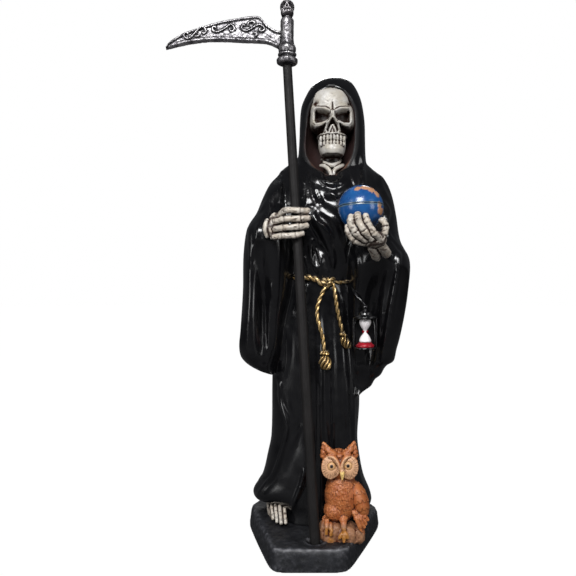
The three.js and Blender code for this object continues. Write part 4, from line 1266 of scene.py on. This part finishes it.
scrolls = [
    # (x, height) points on the blade, each a scroll's stroke with a curl at its ends
    [(-61, 17.7), (-61, 18.9), (-62.5, 18.9), (-63.3, 17.3), (-62, 15.8), (-60.3, 15.6), (-58.8, 16.6),
     (-56.3, 19.1), (-53.6, 22), (-52, 22.6), (-50.2, 21.4), (-49.8, 19.6), (-51.2, 18.6), (-52.2, 19.8)],
    [(-43.4, 21.5), (-44.2, 22.8), (-45.6, 22.2), (-45.6, 20.7), (-43.7, 19.6), (-41.5, 20), (-37.8, 22),
     (-34.5, 24), (-32.9, 23.1), (-32.2, 21.4), (-33.7, 19.9), (-35.3, 20.8), (-34.6, 22)],
    [(-25.7, 22.9), (-26.6, 24), (-27.9, 23.1), (-27.4, 21.3), (-25.2, 20.2), (-22.4, 21.2), (-19.9, 22.9),
     (-17.4, 24), (-15, 23.2), (-13.8, 21.4), (-15.5, 20), (-17, 20.8), (-16.2, 22)],
    [(-24.2, 22.8), (-23.8, 25), (-21.8, 26), (-19.8, 25.6), (-20.2, 24.4)],
    [(-56.8, 16.8), (-54.6, 17), (-53.4, 18)],
    [(-21, 19.3), (-18.4, 18.4), (-19.6, 16.8)],
]


def scrollSkins():
    # each scroll as a thin tube on either face of the blade
    skins = []
    for points in scrolls:
        for face in (-1, 1):
            path = route([(x, face * (scythe["thickness"] / 2 + 0.1), z) for x, z in points])[0]
            t = np.arange(len(path)) * 0.25
            skins.append(tube(path, roundEnds(np.full(len(path), scythe["scroll"]), t), 12))
    return skins


def finialSkins(z):
    # the small skull's round top and its jaw
    size = scythe["finial"]
    return [ball((0, 0, z + size * 0.5), (size * 0.44, size * 0.47, size * 0.49)),
            block((0, -size * 0.06, z + size * 0.2), (size * 0.39, size * 0.4, size * 0.3), 0.6)]


def finialRise(p, top):
    # sockets, nose, mouth and teeth of the small skull, with fine lumps everywhere
    size = scythe["finial"]
    x, y, z = p[:, 0], p[:, 1], p[:, 2] - top
    front = smooth(-0.1, -0.5, y / size * 2)
    eyes = bump(np.abs(x) - 0.24 * size, 0.12 * size) * bump(z - 0.64 * size, 0.11 * size)
    nose = bump(x, 0.06 * size) * bump(z - 0.48 * size, 0.07 * size)
    brows = bump(z - 0.77 * size, 0.05 * size)
    mouth = bump(z - 0.27 * size, 0.04 * size) * smooth(0.26, 0.2, np.abs(x) / size)
    teeth = 0.2 * np.cos(2 * np.pi * x / 1.1) * bump(z - 0.27 * size, 0.1 * size)
    face = front * (z > 0) * (-1.5 * eyes - 1.1 * nose - 0.4 * mouth + teeth + 0.25 * brows)
    return face + 0.1 * lumps(p, 2.6, 31)


def scytheMesh():
    # collar and socket turned from one profile, the blade with its scrolls, the small skull, all on the staff
    wide, r = scythe["collar"] / 2, scythe["socket"] / 2
    low, top = scythe["collarLength"], scythe["collarLength"] + scythe["socketLength"]
    profile = through([
        (0, wide * 0.84), (0.5, wide * 0.95), (1.6, wide), (3, wide * 0.99), (4, wide * 0.84),
        (4.8, wide * 0.8), (5.4, wide * 0.86), (6.2, wide * 0.88), (7, wide * 0.8), (8, wide * 0.82),
        (low - 2, wide * 0.84), (low - 0.8, wide * 0.78), (low, r + 0.5), (low + 1.2, r + 0.1),
        (low + 4, r - 0.1), (top - 5, r), (top - 2.6, r - 0.1), (top - 1.8, r * 0.82), (top - 1, r * 0.8),
        (top, r * 0.8),
    ])
    height = np.linspace(0, top, 150)
    rings = [(0.05, 0)] + list(zip(profile(height), height)) + [(0.05, top)]
    skins = [turned(rings, (0, 0, 0), 96), bladeSkin()] + scrollSkins() + finialSkins(top)
    mesh = fused("scytheHead", skins, scythe["voxel"], 1)
    push(mesh, lambda p, n: finialRise(p, top))
    mark(mesh, "tarnish", smooth(top - 2, top, pointsOf(mesh)[:, 2]))
    setPoints(mesh, pointsOf(mesh) + onStaff(staff["length"] - staff["hole"] - scythe["sink"]))
    return mesh


meshes = {
    "robe": robeMesh(),
    "skull": skullMesh(),
    "rightHand": rightHandMesh(),
    "leftHand": leftHandMesh(),
    "globe": globeMesh(),
    "belt": beltMesh(),
    "hourglassBulbs": glassMesh(),
    "hourglassRed": redMesh(),
    "hourglassCage": cageMesh(),
    "owl": owlMesh(),
    "foot": footMesh(),
    "plinth": plinthMesh(),
    "staff": staffMesh(),
    "scytheHead": scytheMesh(),
}
print("shapes made")


def shelterOf(points, normals, cell=0.8, directions=48):
    # share of the sky hidden at each point: along each way, a point deeper than the top of its cell is hidden
    golden = np.pi * (3 - math.sqrt(5))
    i = np.arange(directions)
    up = 1 - 2 * (i + 0.5) / directions
    flat = np.sqrt(1 - up * up)
    ways = np.stack([np.cos(golden * i) * flat, np.sin(golden * i) * flat, up], axis=-1)
    seen = np.zeros(len(points))
    whole = np.full(len(points), 1e-6)
    for way in ways:
        side = unit(np.cross(way, [0.3, 0.5, 0.8]))
        over = np.floor(points @ side / cell).astype(int)
        rise = np.floor(points @ np.cross(way, side) / cell).astype(int)
        over -= over.min()
        rise -= rise.min()
        place = over * (rise.max() + 1) + rise
        depth = points @ way
        top = np.full(place.max() + 1, -1e9)
        np.maximum.at(top, place, depth)
        facing = np.clip(normals @ way, 0, 1)
        slack = 0.5 + 1.2 * cell * np.sqrt(1 - facing**2) / np.maximum(facing, 0.2)
        seen += facing * (depth > top[place] - slack)
        whole += facing
    return 1 - seen / whole


def markShelter(meshes):
    # shelter of the points of all the meshes together, then evened out twice on each
    points = np.concatenate([pointsOf(mesh) for mesh in meshes])
    shelter = shelterOf(points, np.concatenate([normalsOf(mesh) for mesh in meshes]))[:, None]
    start = 0
    for mesh in meshes:
        end, edges = start + len(mesh.vertices), edgesOf(mesh)
        mark(mesh, "shelter", averaged(averaged(shelter[start:end], edges, 0.6), edges, 0.6)[:, 0])
        start = end


# rounds of evening out and size of the relief on each piece that has any
reliefs = {
    "skull": (10, 0.28),
    "rightHand": (10, 0.15),
    "leftHand": (10, 0.15),
    "belt": (4, 0.18),
    "owl": (6, 0.2),
    "foot": (6, 0.12),
    "plinth": (8, 0.3),
    "scytheHead": (6, 0.2),
    "globe": (4, 0.2),
    "hourglassCage": (4, 0.3),
}
# the shelter mark sets where the materials paint shade
markShelter(meshes.values())
for name, relief in reliefs.items():
    markRelief(meshes[name], *relief)
markHood(meshes["robe"])
print("hollows and crests marked")

# Materials


def rgb(red, green, blue):
    # shown colour of 0 to 255 as linear light: ((s + 0.055) / 1.055)^2.4, or s / 12.92 when dark
    shown = np.array([red, green, blue]) / 255
    light = np.where(shown <= 0.04045, shown / 12.92, ((shown + 0.055) / 1.055) ** 2.4)
    return (*(float(part) for part in light), 1.0)


def add(tree, kind, values=(), **settings):
    # a node with its settings; numbers and colours are set on its sockets, outputs are linked to them
    made = tree.nodes.new(kind)
    for setting, value in settings.items():
        setattr(made, setting, value)
    for socket, value in dict(values).items():
        if isinstance(value, (int, float, tuple)):
            made.inputs[socket].default_value = value
        else:
            tree.links.new(value, made.inputs[socket])
    return made


def markOf(tree, name):
    # the value of a mark of the points
    return add(tree, "ShaderNodeAttribute", attribute_name=name).outputs["Fac"]


def maths(tree, operation, a, b, clamp=False):
    # one operation on two values, kept from 0 to 1 where it is clamped
    return add(tree, "ShaderNodeMath", {0: a, 1: b}, operation=operation, use_clamp=clamp).outputs[0]


def blended(tree, share, a, b):
    # a (1 - share) + b share, for colours
    return add(tree, "ShaderNodeMix", {0: share, 6: a, 7: b}, data_type="RGBA").outputs[2]


def noiseOf(tree, scale, detail=3.0, rough=0.55):
    # noise over the object's own coordinates
    place = add(tree, "ShaderNodeTexCoord").outputs["Object"]
    values = {"Vector": place, "Scale": scale, "Detail": detail, "Roughness": rough}
    return add(tree, "ShaderNodeTexNoise", values).outputs["Fac"]


def newGroup(name, inputs, outputs):
    # a node group with its inputs by name and default, a colour where that is four numbers
    group = bpy.data.node_groups.new(name, "ShaderNodeTree")
    for label, value in inputs.items():
        kind = "NodeSocketColor" if isinstance(value, tuple) else "NodeSocketFloat"
        group.interface.new_socket(label, in_out="INPUT", socket_type=kind).default_value = value
    for label in outputs:
        kind = "NodeSocketColor" if label == "Color" else "NodeSocketFloat"
        group.interface.new_socket(label, in_out="OUTPUT", socket_type=kind)
    return group, group.nodes.new("NodeGroupInput").outputs, group.nodes.new("NodeGroupOutput").inputs


def washAndShadeNodes():
    # thin dark wash in crevices and painted shade in sheltered places, broken up by patches: s = h + max(0, S
    # (s - open)), then s + 0.7 (noise - 0.5)(s + 0.12)
    inputs = {"Paint": (0.8, 0.8, 0.8, 1), "Wash And Shade": (0.05, 0.03, 0.02, 1), "Crevice": 1.0, "Shelter Shade": 1.0}
    group, given, result = newGroup("washAndShade", {**inputs, "Open": 0.42, "Patch Scale": 300.0}, ["Color"])
    deep = maths(group, "MULTIPLY", markOf(group, "hollow"), given["Crevice"])
    hidden = maths(group, "SUBTRACT", markOf(group, "shelter"), given["Open"])
    hidden = maths(group, "MAXIMUM", maths(group, "MULTIPLY", hidden, given["Shelter Shade"]), 0.0)
    patch = maths(group, "SUBTRACT", noiseOf(group, given["Patch Scale"]), 0.5)
    patch = maths(group, "MULTIPLY", patch, 0.7)
    both = maths(group, "ADD", deep, hidden)
    patch = maths(group, "MULTIPLY", patch, maths(group, "ADD", both, 0.12))
    spread = maths(group, "ADD", both, patch, True)
    group.links.new(blended(group, spread, given["Paint"], given["Wash And Shade"]), result["Color"])
    return group


def wearNodes():
    # paler rubbed places on the crests: crest x amount x 3.5 (noise - 0.42)
    inputs = {"Paint": (0.8, 0.8, 0.8, 1), "Bare": (0.9, 0.9, 0.9, 1), "Amount": 1.0, "Patch Scale": 400.0}
    group, given, result = newGroup("wear", inputs, ["Color"])
    rub = maths(group, "MULTIPLY", markOf(group, "crest"), given["Amount"])
    broken = maths(group, "SUBTRACT", noiseOf(group, given["Patch Scale"], 5.0, 0.7), 0.42)
    broken = maths(group, "MULTIPLY", broken, 3.5, True)
    rubbed = maths(group, "MULTIPLY", rub, broken, True)
    group.links.new(blended(group, rubbed, given["Paint"], given["Bare"]), result["Color"])
    return group


def castNodes():
    # small lumps and a finer grain under the paint, the gloss changing with the lumps
    inputs = {"Lump Scale": 200.0, "Grain Scale": 2000.0, "Grain": 0.3, "Gloss Low": 0.2, "Gloss High": 0.4}
    group, given, result = newGroup("cast", inputs, ["Height", "Roughness"])
    lump = noiseOf(group, given["Lump Scale"], 2.0)
    grain = maths(group, "MULTIPLY", noiseOf(group, given["Grain Scale"], 2.0), given["Grain"])
    gloss = add(group, "ShaderNodeMapRange", {"Value": lump, "From Min": 0.3, "From Max": 0.7,
                                              "To Min": given["Gloss Low"], "To Max": given["Gloss High"]})
    group.links.new(maths(group, "ADD", lump, grain), result["Height"])
    group.links.new(gloss.outputs["Result"], result["Roughness"])
    return group


groups = {"washAndShade": washAndShadeNodes(), "wear": wearNodes(), "cast": castNodes()}


def newMaterial(name, looks):
    # a paint of two tones, its masks, a wash in the hollows with painted shade where sheltered, wear on the
    # crests and a cast surface below
    material = bpy.data.materials.new(name)
    material.use_nodes = True
    tree = material.node_tree
    shader = tree.nodes["Principled BSDF"]
    noise = noiseOf(tree, looks.get("toneScale", 120.0))
    tone = add(tree, "ShaderNodeMapRange", {"Value": noise, "From Min": 0.35, "From Max": 0.65})
    colour = blended(tree, tone.outputs["Result"], looks["paint"], looks["second"])
    for zone, paint in looks.get("zones", []):
        colour = blended(tree, markOf(tree, zone), colour, paint)
    for layer in ("washAndShade", "wear"):
        if layer in looks:
            values = {"Paint": colour, **looks[layer]}
            colour = add(tree, "ShaderNodeGroup", values, node_tree=groups[layer]).outputs["Color"]
    for zone, paint in looks.get("topZones", []):
        colour = blended(tree, markOf(tree, zone), colour, paint)
    tree.links.new(colour, shader.inputs["Base Color"])
    cast = add(tree, "ShaderNodeGroup", looks["cast"], node_tree=groups["cast"])
    rough = cast.outputs["Roughness"]
    if "matt" in looks:
        dull = markOf(tree, looks["matt"])
        rough = maths(tree, "ADD", rough, maths(tree, "MULTIPLY", dull, 0.4))
        coat = maths(tree, "MULTIPLY", maths(tree, "SUBTRACT", 1, dull), looks["coat"])
        tree.links.new(coat, shader.inputs["Coat Weight"])
    tree.links.new(rough, shader.inputs["Roughness"])
    bumps = add(tree, "ShaderNodeBump", {"Height": cast.outputs["Height"], "Strength": looks.get("bump", 0.3),
                                         "Distance": 0.0004})
    tree.links.new(bumps.outputs["Normal"], shader.inputs["Normal"])
    for socket, value in looks.get("shader", {}).items():
        shader.inputs[socket].default_value = value
    return material


def washAndShadeOf(paint, crevice, shelter, patches, free=0.42):
    # tone of the wash and painted shade, strength in crevices and of the painted shade in shelter, scale of
    # its patches, shelter up to which it stays off
    return {"Wash And Shade": rgb(*paint), "Crevice": crevice, "Shelter Shade": shelter, "Open": free, "Patch Scale": patches}


def wearOf(paint, amount, patches):
    # bare tone, amount on the crests, scale of its patches
    return {"Bare": rgb(*paint), "Amount": amount, "Patch Scale": patches}


def castOf(lump, grain, share, low, high):
    # scales of lumps and grain, the grain's share, roughness from low to high
    return {"Lump Scale": lump, "Grain Scale": grain, "Grain": share, "Gloss Low": low, "Gloss High": high}


looks = {
    "blackGloss": {
        "paint": rgb(9, 9, 11),
        "second": rgb(13, 13, 15),
        # collar is the lining painted as if lit
        "topZones": [("lining", rgb(52, 33, 31)), ("collar", rgb(112, 80, 64))],
        "matt": "inside",
        "coat": 0.3,
        "cast": castOf(120, 1200, 0.06, 0.16, 0.27),
        "bump": 0.1,
        "shader": {"Coat Roughness": 0.1},
    },
    "bone": {
        "paint": rgb(186, 183, 178),
        "second": rgb(172, 165, 152),
        "toneScale": 160,
        # shade is painted shade in the skull's depths and undersides, with the sockets' own dark paint
        "zones": [("shade", rgb(42, 32, 28))],
        "washAndShade": washAndShadeOf((46, 24, 14), 4.5, 0.9, 500, 0.78),
        "wear": wearOf((206, 203, 196), 0.8, 500),
        "cast": castOf(500, 3500, 0.3, 0.25, 0.42),
        "bump": 0.4,
    },
    "globePaint": {
        "paint": rgb(32, 88, 148),
        "second": rgb(22, 70, 128),
        "zones": [("land", rgb(186, 138, 104)), ("band", rgb(104, 124, 112)), ("seam", rgb(20, 40, 60))],
        "washAndShade": washAndShadeOf((20, 24, 40), 1.2, 1, 300),
        "cast": castOf(300, 2500, 0.2, 0.18, 0.3),
        "bump": 0.25,
        "shader": {"Coat Weight": 0.4, "Coat Roughness": 0.1},
    },
    "goldRope": {
        "paint": rgb(206, 172, 112),
        "second": rgb(176, 140, 78),
        "toneScale": 400,
        "washAndShade": washAndShadeOf((26, 15, 5), 6, 2.4, 600, 0.34),
        "wear": wearOf((240, 228, 200), 1, 700),
        "cast": castOf(700, 3000, 0.3, 0.22, 0.4),
        "bump": 0.4,
        "shader": {"Metallic": 0.7},
    },
    "bulbWhite": {
        "paint": rgb(246, 243, 243),
        "second": rgb(236, 230, 232),
        "washAndShade": washAndShadeOf((110, 40, 50), 0.6, 0.1, 600),
        "cast": castOf(500, 3000, 0.2, 0.2, 0.35),
    },
    "redPaint": {
        "paint": rgb(168, 26, 40),
        "second": rgb(130, 14, 30),
        "washAndShade": washAndShadeOf((50, 6, 10), 1, 0.8, 600),
        "cast": castOf(500, 3000, 0.2, 0.2, 0.35),
    },
    "owlPaint": {
        "paint": rgb(176, 104, 56),
        "second": rgb(158, 84, 40),
        "toneScale": 200,
        "zones": [("disc", rgb(214, 168, 130)), ("stone", rgb(152, 109, 80)), ("foot", rgb(156, 102, 38)),
                  ("beak", rgb(222, 190, 116))],
        "washAndShade": washAndShadeOf((86, 36, 14), 1.3, 1, 500),
        "wear": wearOf((226, 160, 108), 0.9, 600),
        "topZones": [("eyeRing", rgb(204, 158, 96)), ("eye", rgb(18, 14, 12))],
        "cast": castOf(500, 3500, 0.4, 0.38, 0.55),
        "bump": 0.45,
    },
    "charcoal": {
        "paint": rgb(24, 25, 28),
        "second": rgb(34, 35, 39),
        "toneScale": 140,
        "washAndShade": washAndShadeOf((15, 15, 17), 1, 1.2, 200),
        "wear": wearOf((110, 110, 116), 0.6, 420),
        # rubbed: rubbed paint and a painted highlight on the top's front edge
        "topZones": [("rubbed", rgb(134, 134, 138))],
        "cast": castOf(300, 1800, 0.8, 0.42, 0.62),
        "bump": 0.5,
        "shader": {"Specular IOR Level": 0.3},
    },
    "darkWood": {
        "paint": rgb(27, 25, 25),
        "second": rgb(19, 18, 18),
        "toneScale": 60,
        "cast": castOf(200, 2500, 0.5, 0.5, 0.7),
        "bump": 0.5,
        "shader": {"Specular IOR Level": 0.25},
    },
    "silverPatina": {
        "paint": rgb(140, 138, 140),
        "second": rgb(76, 74, 78),
        "toneScale": 260,
        "zones": [("tarnish", rgb(84, 81, 83))],
        "washAndShade": washAndShadeOf((20, 20, 22), 3, 1.2, 240),
        "wear": wearOf((220, 218, 218), 1.2, 240),
        "cast": castOf(500, 2000, 0.3, 0.26, 0.4),
        "bump": 0.6,
        "shader": {"Metallic": 0.8},
    },
}
looks["handBone"] = {
    **looks["bone"],
    "paint": rgb(200, 193, 182),
    "second": rgb(184, 172, 156),
    # gap: the bones' brown wash with painted shade between them
    "zones": [("gap", rgb(48, 26, 16))],
    "washAndShade": washAndShadeOf((40, 20, 10), 4, 2.4, 700, 0.66),
}
materials = {name: newMaterial(name, values) for name, values in looks.items()}
print("materials made")

dress = {
    "robe": "blackGloss",
    "skull": "bone",
    "rightHand": "handBone",
    "leftHand": "handBone",
    "globe": "globePaint",
    "belt": "goldRope",
    "hourglassBulbs": "bulbWhite",
    "hourglassRed": "redPaint",
    "hourglassCage": "blackGloss",
    "owl": "owlPaint",
    "foot": "handBone",
    "plinth": "charcoal",
    "staff": "darkWood",
    "scytheHead": "silverPatina",
}
# node and slot of the pieces that aren't of the figure's resin
others = {"staff": ("scythe_staff", "dark_wood"), "scytheHead": ("scythe_head", "silver_paint")}
for name, material in dress.items():
    node, slot = others.get(name, ("figure", "painted_resin"))
    thing = linked(name, meshes[name])
    thing.data.materials.clear()
    thing.data.materials.append(materials[material])
    thing.data.shade_smooth()
    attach(thing, "root")
    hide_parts(node)
print("pieces dressed")

# Floor, camera and light

stage = {
    "radius": 6.0,
    "below": 0.0002,
    "floor": rgb(70, 70, 72),
    "paper": rgb(255, 255, 255),
    "share": 0.985,
    "dim": rgb(225, 228, 235),
    "fill": 0.08,
}


def seen(tree, share, others, camera):
    # the first shader for all light, and the second for the camera's own rays by the share
    direct = add(tree, "ShaderNodeLightPath").outputs["Is Camera Ray"]
    share = maths(tree, "MULTIPLY", direct, share)
    return add(tree, "ShaderNodeMixShader", {0: share, 1: others, 2: camera}).outputs[0]


def setFloor():
    # a wide disc just below the plinth, grey for light and nearly white for the camera
    a, reach = onceRound(96), stage["radius"]
    rim = np.stack([reach * np.cos(a), reach * np.sin(a), 0 * a - stage["below"]], axis=-1)
    disc = bpy.data.meshes.new("floor")
    disc.from_pydata(rim.tolist(), [], [list(range(len(rim)))])
    material = bpy.data.materials.new("paleFloor")
    material.use_nodes = True
    tree = material.node_tree
    ground = tree.nodes["Principled BSDF"]
    ground.inputs["Base Color"].default_value = stage["floor"]
    ground.inputs["Roughness"].default_value = 0.9
    glow = add(tree, "ShaderNodeEmission", {"Color": stage["paper"], "Strength": 1.02})
    both = seen(tree, stage["share"], ground.outputs[0], glow.outputs[0])
    tree.links.new(both, tree.nodes["Material Output"].inputs["Surface"])
    disc.materials.append(material)
    linked("floor", disc)


def setWorld():
    # white paper for the camera, dim air for all other light
    world = bpy.data.worlds.new("studio")
    world.use_nodes = True
    bpy.context.scene.world = world
    tree = world.node_tree
    paper = tree.nodes["Background"]
    paper.inputs["Color"].default_value = stage["paper"]
    paper.inputs["Strength"].default_value = 1.0
    dim = add(tree, "ShaderNodeBackground", {"Color": stage["dim"], "Strength": stage["fill"]})
    both = seen(tree, 1.0, dim.outputs[0], paper.outputs[0])
    tree.links.new(both, tree.nodes["World Output"].inputs["Surface"])


def setCamera():
    # level, straight in front and close
    data = bpy.data.cameras.new("camera")
    data.lens = view["lens"]
    data.shift_x = view["shift"]
    data.clip_start = 0.01
    camera = linked("camera", data)
    camera.location = (0, -view["away"], view["height"])
    camera.rotation_euler = (math.pi / 2, 0, 0)
    bpy.context.scene.camera = camera


def setLamp(name, place, aim, wide, tall, power):
    # an area lamp turned to its aim: tilted by acos(-dz / |d|), then about Z by atan2(dy, dx) - 90 degrees
    data = bpy.data.lights.new(name, "AREA")
    data.shape = "RECTANGLE"
    data.size = wide
    data.size_y = tall
    data.energy = power
    lamp = linked(name, data)
    lamp.location = place
    way = np.array(aim) - np.array(place)
    tilt = math.acos(-way[2] / np.linalg.norm(way))
    lamp.rotation_euler = (tilt, 0, math.atan2(way[1], way[0]) - math.pi / 2)


view = {"away": 0.44, "height": 0.1637, "lens": 41.67, "shift": -0.0434}
lamps = [
    # place, aimed at, width, height, power
    ((-0.12, -0.93, 0.88), (0, 0, 0.2), 0.55, 0.42, 15),
    ((-0.82, -0.6, 0.42), (0, 0, 0.17), 0.32, 0.7, 2.8),
    ((0.82, -0.6, 0.42), (0, 0, 0.17), 0.32, 0.7, 2.8),
    ((0, 0.9, 0.9), (0, 0, 0.2), 0.5, 0.3, 3),
]
setFloor()
setWorld()
setCamera()
for i, lamp in enumerate(lamps):
    setLamp(f"lamp{i}", *lamp)
bpy.context.scene.view_settings.view_transform = "Standard"
print("camera and lights set")
